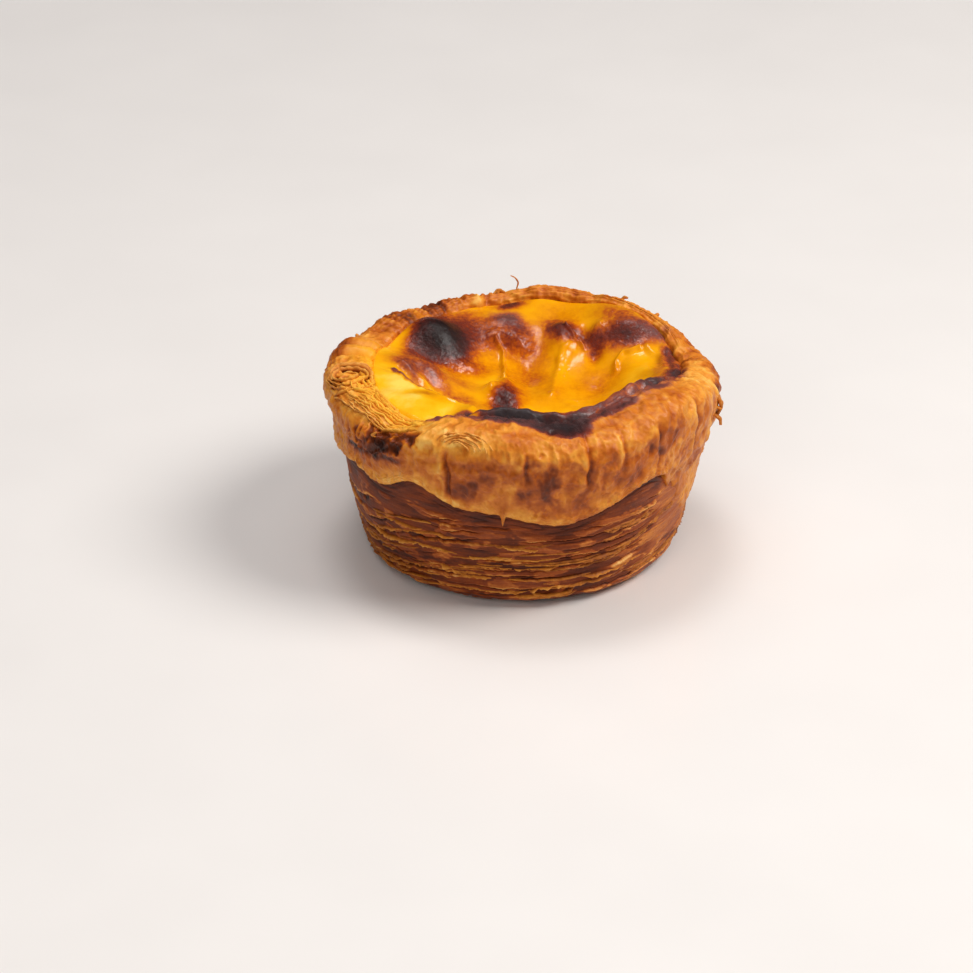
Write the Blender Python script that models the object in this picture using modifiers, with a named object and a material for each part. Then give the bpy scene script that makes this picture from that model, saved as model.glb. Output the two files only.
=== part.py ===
"""Portuguese custard tart: a laminated pastry case with a rolled, uneven rim, filled with baked custard.

The front of the tart is -Y and its right side is +X. The underside rests on Z = 0, and the
origin is the centre of the base. Angles are in degrees, counterclockwise from +X, so the
front is -90 and the left side, where the roll of dough ends in a swirl, is 180.
"""

import bmesh
import bpy
import numpy as np

MM = 0.001

# Driving dimensions
STEPS = 96                      # facets around the tart
BASE_RADIUS = 26.4 * MM         # flat underside
FOOT_RADIUS = 30.9 * MM         # where the wall starts to rise
FOOT_HEIGHT = 3.4 * MM
WAIST_RADIUS = 35.2 * MM        # lower wall, just under the collar
COLLAR_HEIGHT = 23.0 * MM       # lower edge of the collar, before its waves
COLLAR_RADIUS = 37.7 * MM       # widest part of the tart
COLLAR_WIDEST = 32.0 * MM
COLLAR_EDGE_RADIUS = 35.8 * MM  # lower edge, which overhangs the lower wall
RIM_RADIUS = 33.6 * MM          # crest of the rim
RIM_HEIGHT = 36.0 * MM
LIP_RADIUS = 31.2 * MM          # where the pastry meets the custard
LIP_HEIGHT = 35.0 * MM
FLOOR_THICKNESS = 4.0 * MM      # pastry under the custard
FLOOR_RADIUS = 25.4 * MM
CORNER = 3.0 * MM               # rounding between the floor and the wall
FOLD_START = 6.0 * MM           # height above the floor where the folded dough thickens the wall
LAYER_RIDGES = 5                # coarse ridges of the laminated lower wall
RIDGE_DEPTH = 0.35 * MM
RIDGE_TOP_MARGIN = 1.2 * MM     # plain wall between the ridges and the collar
RIDGE_FOOT_MARGIN = 1.4 * MM    # plain wall between the ridges and the foot
EDGE_TUCK = (0.1 * MM, 0.2 * MM)    # how far the wall runs in and up behind the collar's edge
GAP = 0.35 * MM                 # between the custard and the pastry
BASIN_HEIGHT = 28.5 * MM        # lowest level of the sunken custard
BASIN_RADIUS = 13.0 * MM        # the custard starts to climb here
BAND_CENTRE = 0.93              # burnt band along the lip, as shares of the custard's radius
BAND_WIDTH = 0.09

# The line halfway through the wall, which parts the inner faces from the outer ones
MIDDLE_RADIUS = 28.6 * MM       # at the underside
MIDDLE_FLARE = 4.2 * MM         # how much wider it is at the lip
MIDDLE_BLEND = (2.2 * MM, -1.4 * MM)    # where the inner faces' share is 0 and where it is 1

# Small waves of the rim and the wall: (waves around the tart, height, phase), in mm and degrees
RIM_RIPPLES = [(9, 0.35, 40), (14, 0.25, 0)]
WALL_WOBBLE = [(5, 0.25, 70)]
RIPPLE_START = 2.0 * MM         # below the collar's edge, where the rim's unevenness fades out
COLLAR_WAVE_REACH = 9.0 * MM    # height over which the waves of the collar's edge fade out

# Uneven places of the rim and the collar: (direction, half width, amount), in degrees and mm
RIM_RISES = [
    (-100, 30, 2.9),            # high front
    (-42, 30, 3.3),
    (-72, 9, -1.4),             # dip that the burnt custard fills
    (-132, 10, -0.8),           # torn place beside the swirl
    (188, 20, 1.3),             # swirl
    (154, 12, -1.0),
    (126, 12, -1.0),
    (66, 22, 1.5),
    (14, 16, -2.2),
]
LIP_SHIFTS = [
    (-95, 42, -4.6),            # thick rim at the front
    (-35, 30, -2.6),
    (178, 34, -2.2),
]
COLLAR_RISES = [
    (-124, 9, 4.4),
    (-148, 10, 1.6),
    (-79, 13, -2.6),
    (-48, 12, 3.6),
    (-8, 18, -2.2),
    (40, 16, 1.8),
    (85, 20, -1.6),
    (140, 18, 1.4),
]
BULGES = [
    (180, 16, 0.55),            # swirl
    (-150, 10, -0.5),
    (-60, 14, 0.3),
    (12, 18, 0.2),
    (60, 14, -0.5),
]
# Custard: (x, y, radius, height) of each dome or hollow of its skin, in mm
CUSTARD_DOMES = [
    (-15.5, 18.0, 6.0, 3.2),    # large burnt blister
    (-3.5, 24.0, 4.5, 1.8),
    (-3.6, 3.0, 3.2, 1.6),
    (-18.0, 5.0, 5.0, 1.4),
    (9.0, 20.0, 4.0, 1.2),
    (20.0, 21.0, 5.5, 1.6),
    (3.0, -4.0, 6.0, -1.6),
    (13.0, 6.0, 6.0, -1.2),
]
BURNT_BAND = [
    (-80, 34, 2.0),             # custard skin that rose and burnt along the front lip
    (-28, 20, 1.6),
]


def smoothstep(low, high, value):
    """0 below low, 1 above high, and a smooth ramp between them."""
    t = np.clip((value - low) / (high - low), 0.0, 1.0)
    return t * t * (3.0 - 2.0 * t)


def around(angle, places):
    """Sum, in metres, of the uneven places at each angle in degrees."""
    total = np.zeros_like(angle)
    for centre, half_width, amount in places:
        offset = (angle - centre + 180.0) % 360.0 - 180.0
        total += amount * MM * np.exp(-((offset / half_width) ** 2))
    return total


def waves(angle, kinds):
    """Sum, in metres, of even waves around the tart."""
    total = np.zeros_like(angle)
    for count, amount, phase in kinds:
        total += amount * MM * np.sin(np.radians(count * angle + phase))
    return total


def arc(centre, radii, start, end, count):
    """Points of an elliptic arc from start to end degrees, both included."""
    angles = np.radians(np.linspace(start, end, count))
    return [
        (centre[0] + radii[0] * np.cos(a), centre[1] + radii[1] * np.sin(a))
        for a in angles
    ]


def inner_wall(height):
    """Nominal radius of the case's inside at a height."""
    rise = np.clip((height - FLOOR_THICKNESS) / (LIP_HEIGHT - FLOOR_THICKNESS), 0.0, 1.0)
    return FLOOR_RADIUS + (LIP_RADIUS - FLOOR_RADIUS) * rise**0.6


def lower_wall(height):
    """Mean radius of the laminated wall between the foot and the collar."""
    rise = np.clip((height - FOOT_HEIGHT) / (COLLAR_HEIGHT - FOOT_HEIGHT), 0.0, 1.0)
    return FOOT_RADIUS + (WAIST_RADIUS - FOOT_RADIUS) * rise**0.8


def case_profile():
    """Half section of the case: inside from the axis up, over the rim and down the outside."""
    points = [(0.0, FLOOR_THICKNESS), (FLOOR_RADIUS - CORNER, FLOOR_THICKNESS)]
    for height in np.linspace(FLOOR_THICKNESS + CORNER, LIP_HEIGHT, 5):
        points.append((inner_wall(height), height))
    inner_roll = (RIM_RADIUS - LIP_RADIUS, RIM_HEIGHT - LIP_HEIGHT)
    points += arc((RIM_RADIUS, LIP_HEIGHT), inner_roll, 135, 90, 2)
    outer_roll = (COLLAR_RADIUS - RIM_RADIUS, RIM_HEIGHT - COLLAR_WIDEST)
    points += arc((RIM_RADIUS, COLLAR_WIDEST), outer_roll, 62, 0, 4)
    for taper in (0.4, 0.75, 1.0):
        radius = COLLAR_RADIUS - (COLLAR_RADIUS - COLLAR_EDGE_RADIUS) * taper**1.3
        points.append((radius, COLLAR_WIDEST - (COLLAR_WIDEST - COLLAR_HEIGHT) * taper))
    points.append((WAIST_RADIUS - EDGE_TUCK[0], COLLAR_HEIGHT + EDGE_TUCK[1]))
    ridge_top = COLLAR_HEIGHT - RIDGE_TOP_MARGIN
    ridge_foot = FOOT_HEIGHT + RIDGE_FOOT_MARGIN
    for index, height in enumerate(np.linspace(ridge_top, ridge_foot, 2 * LAYER_RIDGES)):
        points.append((lower_wall(height) + RIDGE_DEPTH * (-1) ** index, height))
    points += arc((BASE_RADIUS, FOOT_HEIGHT), (FOOT_RADIUS - BASE_RADIUS, FOOT_HEIGHT), 0, -90, 4)
    points.append((0.0, 0.0))
    return points


def custard_profile():
    """Half section of the custard: from the axis out over its top, then down beside the case."""
    edge = LIP_RADIUS - GAP
    points = [(0.0, BASIN_HEIGHT)]
    for radius in np.linspace(0.13, BAND_CENTRE, 9) * edge:
        climb = smoothstep(BASIN_RADIUS, edge, radius)
        points.append((radius, BASIN_HEIGHT + (LIP_HEIGHT - BASIN_HEIGHT) * climb))
    for height in np.linspace(LIP_HEIGHT, FLOOR_THICKNESS + CORNER, 5):
        points.append((inner_wall(height) - GAP, height))
    points.append((FLOOR_RADIUS - CORNER - 0.5 * GAP, FLOOR_THICKNESS + GAP))
    points.append((0.0, FLOOR_THICKNESS + GAP))
    return points


def turned(name, profile, collection):
    """Object made by turning a half section once around the Z axis."""
    mesh = bpy.data.meshes.new(name + "_section")
    section = bmesh.new()
    corners = [section.verts.new((radius, 0.0, height)) for radius, height in profile]
    for start, end in zip(corners, corners[1:]):
        section.edges.new((start, end))
    section.to_mesh(mesh)
    section.free()
    guide = bpy.data.objects.new(name + "_section", mesh)
    collection.objects.link(guide)
    screw = guide.modifiers.new("turn", "SCREW")
    screw.steps = STEPS
    screw.render_steps = STEPS
    screw.use_merge_vertices = True
    screw.merge_threshold = 0.00001
    bpy.context.view_layer.update()
    evaluated = guide.evaluated_get(bpy.context.evaluated_depsgraph_get())
    solid = bpy.data.objects.new(name, bpy.data.meshes.new_from_object(evaluated))
    solid.data.name = name
    collection.objects.link(solid)
    bpy.data.objects.remove(guide, do_unlink=True)
    return solid


def reshape(solid, change):
    """Moves each point by change(radius, angle, height), which returns its new radius and height."""
    mesh = solid.data
    points = np.empty(len(mesh.vertices) * 3)
    mesh.vertices.foreach_get("co", points)
    points = points.reshape(-1, 3)
    radius = np.hypot(points[:, 0], points[:, 1])
    turn = np.arctan2(points[:, 1], points[:, 0])
    new_radius, new_height = change(radius, np.degrees(turn), points[:, 2])
    moved = np.stack([new_radius * np.cos(turn), new_radius * np.sin(turn), new_height], axis=1)
    mesh.vertices.foreach_set("co", moved.ravel())
    mesh.update()


def shift_inner_wall(radius, angle, height, weight):
    """Thickens the rim inwards where the dough is folded over."""
    climb = smoothstep(FLOOR_THICKNESS + FOLD_START, LIP_HEIGHT, height)
    return radius + around(angle, LIP_SHIFTS) * climb * weight


def lift(angle, height):
    """Raises or lowers the rim, fading out towards the collar's lower edge."""
    share = smoothstep(COLLAR_HEIGHT - RIPPLE_START, LIP_HEIGHT, height)
    return (around(angle, RIM_RISES) + waves(angle, RIM_RIPPLES)) * share


def shape_case(radius, angle, height):
    """Folds the rim, waves the collar's edge and makes the wall uneven."""
    middle = MIDDLE_RADIUS + MIDDLE_FLARE * height / LIP_HEIGHT
    inside = smoothstep(middle + MIDDLE_BLEND[0], middle + MIDDLE_BLEND[1], radius)
    moved_radius = shift_inner_wall(radius, angle, height, inside)
    outside = 1.0 - inside
    above_edge = np.clip((height - COLLAR_HEIGHT) / COLLAR_WAVE_REACH, -1, 1)
    collar_share = np.cos(above_edge * np.pi / 2) ** 2
    moved_height = height + around(angle, COLLAR_RISES) * collar_share * outside
    moved_height += lift(angle, height)
    upper = smoothstep(COLLAR_HEIGHT, COLLAR_WIDEST, height)
    moved_radius += around(angle, BULGES) * upper * outside
    wobble = waves(angle, WALL_WOBBLE) * smoothstep(0.5 * FOOT_HEIGHT, COLLAR_HEIGHT, height)
    moved_radius += wobble * outside
    return moved_radius, moved_height


def shape_custard(radius, angle, height):
    """Follows the folded rim with the custard, and raises the domes and the burnt band of its skin."""
    top = radius < inner_wall(height) - 1.5 * GAP
    top &= height > FLOOR_THICKNESS + 2 * GAP
    moved_radius = shift_inner_wall(radius, angle, height, 1.0)
    x = moved_radius * np.cos(np.radians(angle)) / MM
    y = moved_radius * np.sin(np.radians(angle)) / MM
    domes = np.zeros_like(radius)
    for dome_x, dome_y, dome_radius, dome_height in CUSTARD_DOMES:
        distance = ((x - dome_x) ** 2 + (y - dome_y) ** 2) / dome_radius**2
        domes += dome_height * MM * np.exp(-distance)
    edge = LIP_RADIUS - GAP
    band = np.exp(-(((radius - BAND_CENTRE * edge) / (BAND_WIDTH * edge)) ** 2))
    raised = lift(angle, LIP_HEIGHT) * smoothstep(BASIN_RADIUS, edge, radius)
    relief = raised + domes + around(angle, BURNT_BAND) * band
    return moved_radius, height + np.where(top, relief, lift(angle, height))


def material(name, color, roughness):
    result = bpy.data.materials.new(name)
    result.use_nodes = True
    shader = result.node_tree.nodes["Principled BSDF"]
    shader.inputs["Base Color"].default_value = (*color, 1.0)
    shader.inputs["Roughness"].default_value = roughness
    shader.inputs["Metallic"].default_value = 0.0
    result.diffuse_color = (*color, 1.0)
    return result


def finish(solid, surface):
    """Gives a solid its material and smooth shading, and leaves its folds sharp."""
    solid.data.materials.clear()
    solid.data.materials.append(surface)
    solid.data.shade_smooth()
    solid.data.set_sharp_from_angle(angle=np.radians(40))


def make_pastry_case(collection):
    case = turned("pastry_case", case_profile(), collection)
    reshape(case, shape_case)
    finish(case, material("baked_pastry", (0.52, 0.22, 0.06), 0.6))
    return case


def make_custard(collection):
    custard = turned("custard", custard_profile(), collection)
    reshape(custard, shape_custard)
    finish(custard, material("baked_custard", (0.85, 0.38, 0.01), 0.25))
    return custard


def centre_on_origin(solids):
    """Slides the whole tart so that its box is centred over the origin and rests on Z = 0."""
    corners = np.array([corner for solid in solids for corner in solid.bound_box])
    low, high = corners.min(axis=0), corners.max(axis=0)
    slide = (-(low[0] + high[0]) / 2, -(low[1] + high[1]) / 2, -low[2])
    for solid in solids:
        points = np.empty(len(solid.data.vertices) * 3)
        solid.data.vertices.foreach_get("co", points)
        solid.data.vertices.foreach_set("co", (points.reshape(-1, 3) + slide).ravel())
        solid.data.update()


def main():
    for leftover in list(bpy.data.objects):
        bpy.data.objects.remove(leftover, do_unlink=True)
    collection = bpy.data.collections.new("custard_tart")
    bpy.context.scene.collection.children.link(collection)
    centre_on_origin([make_pastry_case(collection), make_custard(collection)])


main()
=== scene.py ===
import bpy
import numpy as np
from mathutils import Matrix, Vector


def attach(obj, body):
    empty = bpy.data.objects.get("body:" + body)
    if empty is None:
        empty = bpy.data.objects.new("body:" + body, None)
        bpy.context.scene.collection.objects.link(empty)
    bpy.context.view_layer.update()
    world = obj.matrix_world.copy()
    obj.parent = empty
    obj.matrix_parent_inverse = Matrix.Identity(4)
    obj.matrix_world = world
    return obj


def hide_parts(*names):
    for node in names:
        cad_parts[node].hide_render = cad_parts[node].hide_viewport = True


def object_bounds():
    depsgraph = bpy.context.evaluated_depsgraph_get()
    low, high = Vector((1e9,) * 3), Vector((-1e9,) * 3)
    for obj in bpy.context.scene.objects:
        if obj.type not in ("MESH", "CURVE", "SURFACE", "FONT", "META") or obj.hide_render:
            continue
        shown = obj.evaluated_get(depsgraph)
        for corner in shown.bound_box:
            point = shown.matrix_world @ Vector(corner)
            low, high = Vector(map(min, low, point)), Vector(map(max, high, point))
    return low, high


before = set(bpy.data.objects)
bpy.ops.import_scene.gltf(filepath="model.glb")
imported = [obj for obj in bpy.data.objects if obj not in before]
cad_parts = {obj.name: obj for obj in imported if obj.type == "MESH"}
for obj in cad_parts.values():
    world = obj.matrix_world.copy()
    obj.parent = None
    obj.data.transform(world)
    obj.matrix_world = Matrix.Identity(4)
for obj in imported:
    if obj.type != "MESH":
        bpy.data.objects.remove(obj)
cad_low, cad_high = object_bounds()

# Shapes are worked out in millimetres and scaled when a mesh is made. The front of the tart is
# -Y, its right side +X. Angles are in degrees, counterclockwise from +X, so the front is -90.
MM = 0.001

# ---------------------------------------------------------------- the tart's own dimensions
BASE_RADIUS = 26.4
FOOT_RADIUS = 30.9
FOOT_HEIGHT = 3.4
WAIST_RADIUS = 35.2
COLLAR_HEIGHT = 23.0
COLLAR_RADIUS = 37.7
COLLAR_WIDEST = 32.0
COLLAR_EDGE_RADIUS = 35.8
RIM_RADIUS = 33.6
RIM_HEIGHT = 36.0
LIP_RADIUS = 31.2
LIP_HEIGHT = 35.0
FLOOR_THICKNESS = 4.0
FLOOR_RADIUS = 25.4
BASIN_HEIGHT = 28.5
BASIN_RADIUS = 13.0
FOLD_START = 6.0                # height above the case's floor where the folded dough thickens the wall
RIPPLE_START = 2.0              # below the collar's edge, where the rim's unevenness fades out
COLLAR_WAVE_REACH = 9.0         # height over which the waves of the collar's edge fade out
MIDDLE_RADIUS = 28.6            # the line halfway through the wall, at the underside
MIDDLE_FLARE = 4.2              # how much wider it is at the lip
MIDDLE_BLEND = (2.2, -1.4)      # where the inner faces' share is 0 and where it is 1
BAND_CENTRE = 0.93              # burnt band along the lip, as shares of the custard's radius
BAND_WIDTH = 0.09

# (waves around the tart, amount, phase)
RIM_RIPPLES = [(9, 0.35, 40), (14, 0.25, 0)]
WALL_WOBBLE = [(5, 0.25, 70)]
# Uneven places: (direction, half width, amount), in degrees and mm
RIM_RISES = [
    (-100, 30, 2.9),
    (-42, 30, 3.3),
    (-72, 9, -1.4),
    (-132, 10, -0.8),
    (188, 20, 1.3),
    (154, 12, -1.0),
    (126, 12, -1.0),
    (66, 22, 1.5),
    (14, 16, -2.2),
    (92, 34, -0.7),
]
LIP_SHIFTS = [
    (-95, 42, -4.6),
    (-35, 30, -2.6),
    (178, 34, -2.2),
    (92, 46, 1.5),
    (36, 30, 1.5),
    (128, 17, -1.5),
]
COLLAR_RISES = [
    (-124, 9, 4.4),
    (-148, 10, 1.6),
    (-79, 13, -2.6),
    (-48, 12, 3.6),
    (-8, 18, -2.2),
    (40, 16, 1.8),
    (85, 20, -1.6),
    (140, 18, 1.4),
]
BULGES = [
    (180, 16, 0.55),
    (-150, 10, -0.5),
    (-60, 14, 0.3),
    (12, 18, 0.2),
    (60, 14, -0.5),
]
CUSTARD_DOMES = [
    (-15.5, 18.0, 6.0, 3.2),
    (-3.5, 24.0, 4.5, 1.8),
    (-3.6, 3.0, 3.2, 1.6),
    (-18.0, 5.0, 5.0, 1.4),
    (9.0, 20.0, 4.0, 1.2),
    (20.0, 21.0, 5.5, 1.6),
    (3.0, -4.0, 6.0, -1.6),
    (13.0, 6.0, 6.0, -1.2),
]
BURNT_BAND = [
    (-80, 34, 2.0),
    (-28, 20, 1.6),
]

# The collar's skin clings to the wall between these directions, and drips down at one place
CLING_START = -43.0
CLING_END = 14.0
CLING_TOP = 25.0                # where it clings, its lower edge falls from this height, by this much
CLING_FALL = 15.0
DRIP_AT = -96.0
DRIP_HALF_WIDTH = 0.45
DRIP_LENGTH = 2.4


# ---------------------------------------------------------------- numbers and noise
def smoothstep(low, high, value):
    """0 below low, 1 above high, and a smooth ramp between them."""
    t = np.clip((value - low) / (high - low), 0.0, 1.0)
    return t * t * (3.0 - 2.0 * t)


def window(value, start, full, fade, end):
    """0 outside start and end, 1 from full to fade, and smooth ramps between them."""
    return smoothstep(start, full, value) * smoothstep(end, fade, value)


def bell(value, centre, width):
    """1 at the centre, falling off smoothly on both sides."""
    return np.exp(-(((value - centre) / width) ** 2))


def turn_from(angle, centre):
    """Signed difference of two directions, from -180 to 180 degrees."""
    return (angle - centre + 180.0) % 360.0 - 180.0


def around(angle, places):
    """Sum of the uneven places at each angle."""
    total = np.zeros_like(angle)
    for centre, half_width, amount in places:
        total += amount * bell(turn_from(angle, centre), 0.0, half_width)
    return total


def waves(angle, kinds):
    """Sum of even waves around the tart."""
    total = np.zeros_like(angle)
    for count, amount, phase in kinds:
        total += amount * np.sin(np.radians(count * angle + phase))
    return total


def noise(x, y, z, seed):
    """Smooth gradient noise between about -1 and 1, with features one unit across."""
    random = np.random.default_rng(seed)
    order = random.permutation(256)
    order = np.concatenate([order, order, order])
    slopes = random.normal(size=(256, 3))
    slopes /= np.linalg.norm(slopes, axis=1)[:, None]
    x, y, z = np.broadcast_arrays(x, y, z)
    cells = [np.floor(axis).astype(int) for axis in (x, y, z)]
    inside = [axis - cell for axis, cell in zip((x, y, z), cells)]
    fades = [t * t * t * (t * (6 * t - 15) + 10) for t in inside]
    total = np.zeros(x.shape)
    for corner in range(8):
        steps = [(corner >> bit) & 1 for bit in range(3)]
        spot = (cells[0] + steps[0]) & 255
        spot = (order[spot] + cells[1] + steps[1]) & 255
        spot = (order[spot] + cells[2] + steps[2]) & 255
        slope = slopes[order[spot]]
        value = sum(slope[..., bit] * (inside[bit] - steps[bit]) for bit in range(3))
        for bit in range(3):
            value = value * (fades[bit] if steps[bit] else 1.0 - fades[bit])
        total += value
    return total * 1.6


def rough(place, size, seed, tall=None):
    """Noise at an (x, y, z) place, with features size mm across and tall mm high."""
    x, y, z = place
    return noise(x / size, y / size, z / (tall or size), seed)


def layered_noise(x, y, z, seed, octaves):
    """Noise with finer and finer detail, each octave half as strong as the last."""
    total, strength = 0.0, 1.0
    for octave in range(octaves):
        size = 2.03**octave
        total = total + strength * noise(x * size, y * size, z * size, seed + 11 * octave)
        strength *= 0.5
    return total


# ---------------------------------------------------------------- the tart's base shape
def inner_wall(height):
    """Radius of the case's inner wall."""
    rise = np.clip((height - FLOOR_THICKNESS) / (LIP_HEIGHT - FLOOR_THICKNESS), 0.0, 1.0)
    return FLOOR_RADIUS + (LIP_RADIUS - FLOOR_RADIUS) * rise**0.6


def lower_wall(height):
    """Radius of the outer wall below the collar, which also goes on upward behind it."""
    rise = np.clip((height - FOOT_HEIGHT) / (COLLAR_HEIGHT - FOOT_HEIGHT), 0.0, 1.6)
    return FOOT_RADIUS + (WAIST_RADIUS - FOOT_RADIUS) * rise**0.8


def lift(angle, height):
    """Raises or lowers the rim, fading out towards the collar's lower edge."""
    share = smoothstep(COLLAR_HEIGHT - RIPPLE_START, LIP_HEIGHT, height)
    return (around(angle, RIM_RISES) + waves(angle, RIM_RIPPLES)) * share


def lip_shift(angle, height):
    """Thickens or thins the rim on its inside."""
    return around(angle, LIP_SHIFTS) * smoothstep(FLOOR_THICKNESS + FOLD_START, LIP_HEIGHT, height)


def collar_edge(angle):
    """Height of the collar's lower edge."""
    return COLLAR_HEIGHT + around(angle, COLLAR_RISES)


def cling_share(angle, fade=5.0):
    """1 where the collar's skin lies flat on the wall, at the right front."""
    return window(angle, CLING_START, CLING_START + fade, CLING_END - 12.0, CLING_END)


def collar_skirt(angle):
    """Height where the collar's skin ends: its edge, but lower at a drip and where it clings."""
    cling = cling_share(angle, 2.5)
    slant = CLING_TOP - CLING_FALL * smoothstep(-46, -18, angle) + 0.9 * noise(angle / 3.5, 0.0, 0.0, 55)
    drip = DRIP_LENGTH * bell(turn_from(angle, DRIP_AT), 0, DRIP_HALF_WIDTH)
    return collar_edge(angle) * (1 - cling) + slant * cling - drip


def shape_case(radius, angle, height):
    """Puts a point of the turned case where the uneven case has it."""
    middle = MIDDLE_RADIUS + MIDDLE_FLARE * height / LIP_HEIGHT
    inside = smoothstep(middle + MIDDLE_BLEND[0], middle + MIDDLE_BLEND[1], radius)
    outside = 1.0 - inside
    moved_radius = radius + lip_shift(angle, height) * inside
    share = np.cos(np.clip((height - COLLAR_HEIGHT) / COLLAR_WAVE_REACH, -1, 1) * np.pi / 2) ** 2
    moved_height = height + around(angle, COLLAR_RISES) * share * outside + lift(angle, height)
    upper = smoothstep(COLLAR_HEIGHT, COLLAR_WIDEST, height)
    moved_radius = moved_radius + around(angle, BULGES) * upper * outside
    wobble = waves(angle, WALL_WOBBLE) * outside
    moved_radius = moved_radius + wobble * smoothstep(0.5 * FOOT_HEIGHT, COLLAR_HEIGHT, height)
    return moved_radius, moved_height


def custard_height(x, y):
    """Height of the custard's top before its fine relief."""
    angle = np.degrees(np.arctan2(y, x))
    edge = LIP_RADIUS + around(angle, LIP_SHIFTS)
    radius = np.hypot(x, y) / edge * LIP_RADIUS
    climb = smoothstep(BASIN_RADIUS, LIP_RADIUS, radius)
    height = BASIN_HEIGHT + (LIP_HEIGHT - BASIN_HEIGHT) * climb
    height = height + lift(angle, LIP_HEIGHT) * climb
    for dome_x, dome_y, dome_radius, dome_height in CUSTARD_DOMES:
        distance = ((x - dome_x) ** 2 + (y - dome_y) ** 2) / dome_radius**2
        height = height + dome_height * np.exp(-distance)
    band = bell(radius, BAND_CENTRE * LIP_RADIUS, BAND_WIDTH * LIP_RADIUS)
    return height + around(angle, BURNT_BAND) * band


def path_distance(x, y, path):
    """Distance to a chain of (x, y) corners, and which side of it a point is on: right is positive."""
    nearest = np.full(np.shape(x), 1e9)
    side = np.zeros(np.shape(x))
    for (start_x, start_y), (end_x, end_y) in zip(path[:-1], path[1:]):
        step_x, step_y = end_x - start_x, end_y - start_y
        length_squared = step_x**2 + step_y**2
        part = np.clip(((x - start_x) * step_x + (y - start_y) * step_y) / length_squared, 0, 1)
        away_x, away_y = x - start_x - part * step_x, y - start_y - part * step_y
        distance = np.hypot(away_x, away_y)
        closer = distance < nearest
        nearest = np.where(closer, distance, nearest)
        side = np.where(closer, np.sign(away_x * step_y - away_y * step_x), side)
    return nearest, side


def turned_oval(x, y, centre_x, centre_y, length, width, turn):
    """1 on the outline of an oval that is turned by some degrees, and 0 at its centre."""
    c, s = np.cos(np.radians(turn)), np.sin(np.radians(turn))
    along = ((x - centre_x) * c + (y - centre_y) * s) / length
    across = ((y - centre_y) * c - (x - centre_x) * s) / width
    return np.hypot(along, across)


def spread(corners, count):
    """Points spaced evenly along a chain of (radius, height) corners."""
    corners = np.array(corners, float)
    lengths = np.hypot(*np.diff(corners, axis=0).T)
    along = np.concatenate([[0.0], np.cumsum(lengths)])
    places = np.linspace(0.0, along[-1], count)
    return np.stack([np.interp(places, along, axis) for axis in corners.T], axis=1)


def walk(corners, count):
    """Points stepped evenly through a chain of corners, the same number between each two."""
    corners = np.array(corners, float)
    part = np.linspace(0, len(corners) - 1, count)
    return np.stack([np.interp(part, np.arange(len(corners)), axis) for axis in corners.T], axis=1)


def arc(centre, radii, start, end, count):
    """Points along an oval arc, from one angle to another."""
    angles = np.radians(np.linspace(start, end, count))
    return [(centre[0] + radii[0] * np.cos(a), centre[1] + radii[1] * np.sin(a)) for a in angles]


# ---------------------------------------------------------------- grids and meshes
def cylinder_points(radius, angle, height):
    """Points (x, y, z) at a distance from the axis, a direction and a height."""
    turn = np.radians(angle)
    return np.stack([radius * np.cos(turn), radius * np.sin(turn), height], axis=-1)


def grid_normals(points, closed):
    """Unit normals of a grid of points; columns run around the tart."""
    if closed:
        across = np.roll(points, -1, axis=1) - np.roll(points, 1, axis=1)
    else:
        across = np.gradient(points, axis=1)
    along = np.gradient(points, axis=0)
    normals = np.cross(along, across)
    return normals / np.maximum(np.linalg.norm(normals, axis=-1, keepdims=True), 1e-9)


def grid_faces(rows, columns, closed_columns, closed_rows):
    """Quads of a grid of points, as indices; a closed side joins its last points to its first."""
    row = np.arange(rows if closed_rows else rows - 1)[:, None]
    column = np.arange(columns if closed_columns else columns - 1)[None, :]
    next_row, next_column = (row + 1) % rows, (column + 1) % columns
    corners = [
        row * columns + column,
        next_row * columns + column,
        next_row * columns + next_column,
        row * columns + next_column,
    ]
    return np.stack(np.broadcast_arrays(*corners), axis=-1).reshape(-1, 4)


def strip_map(rows, columns, closed_columns, closed_rows, strips):
    """Flat map of a long grid, cut across into strips that are laid one above the other."""
    row = np.arange(rows if closed_rows else rows - 1)[:, None]
    column = np.arange(columns if closed_columns else columns - 1)[None, :]
    row_count, column_count = row.size, column.size
    per_strip = -(-column_count // strips)
    strip = column // per_strip
    places = []
    for row_step, column_step in ((0, 0), (1, 0), (1, 1), (0, 1)):
        u = 0.005 + 0.99 * (column - strip * per_strip + column_step) / per_strip
        v = (strip + 0.02 + 0.96 * (row + row_step) / row_count) / strips
        places.append(np.stack(np.broadcast_arrays(u, v), axis=-1))
    return np.stack(places, axis=2).reshape(-1, 2)


def build_mesh(name, shift, points, faces, flat_map, fields, material, normals=None):
    """Object from points in mm, quads, one map place for each face corner and named fields."""
    mesh = bpy.data.meshes.new(name)
    points = (points.reshape(-1, 3) + shift) * MM
    mesh.vertices.add(len(points))
    mesh.vertices.foreach_set("co", points.ravel())
    mesh.loops.add(faces.size)
    mesh.loops.foreach_set("vertex_index", faces.ravel().astype(np.int32))
    mesh.polygons.add(len(faces))
    mesh.polygons.foreach_set("loop_start", np.arange(0, faces.size, faces.shape[1], dtype=np.int32))
    mesh.update(calc_edges=True)
    layer = mesh.uv_layers.new(name="OFBake")
    layer.uv.foreach_set("vector", flat_map.astype(np.float32).ravel())
    for field, values in fields.items():
        attribute = mesh.attributes.new(field, "FLOAT", "POINT")
        attribute.data.foreach_set("value", values.astype(np.float32).ravel())
    mesh.validate()
    mesh.shade_smooth()
    if normals is not None:
        mesh.normals_split_custom_set_from_vertices(normals.reshape(-1, 3))
    mesh.materials.append(material)
    piece = bpy.data.objects.new(name, mesh)
    bpy.context.scene.collection.objects.link(piece)
    return piece


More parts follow.
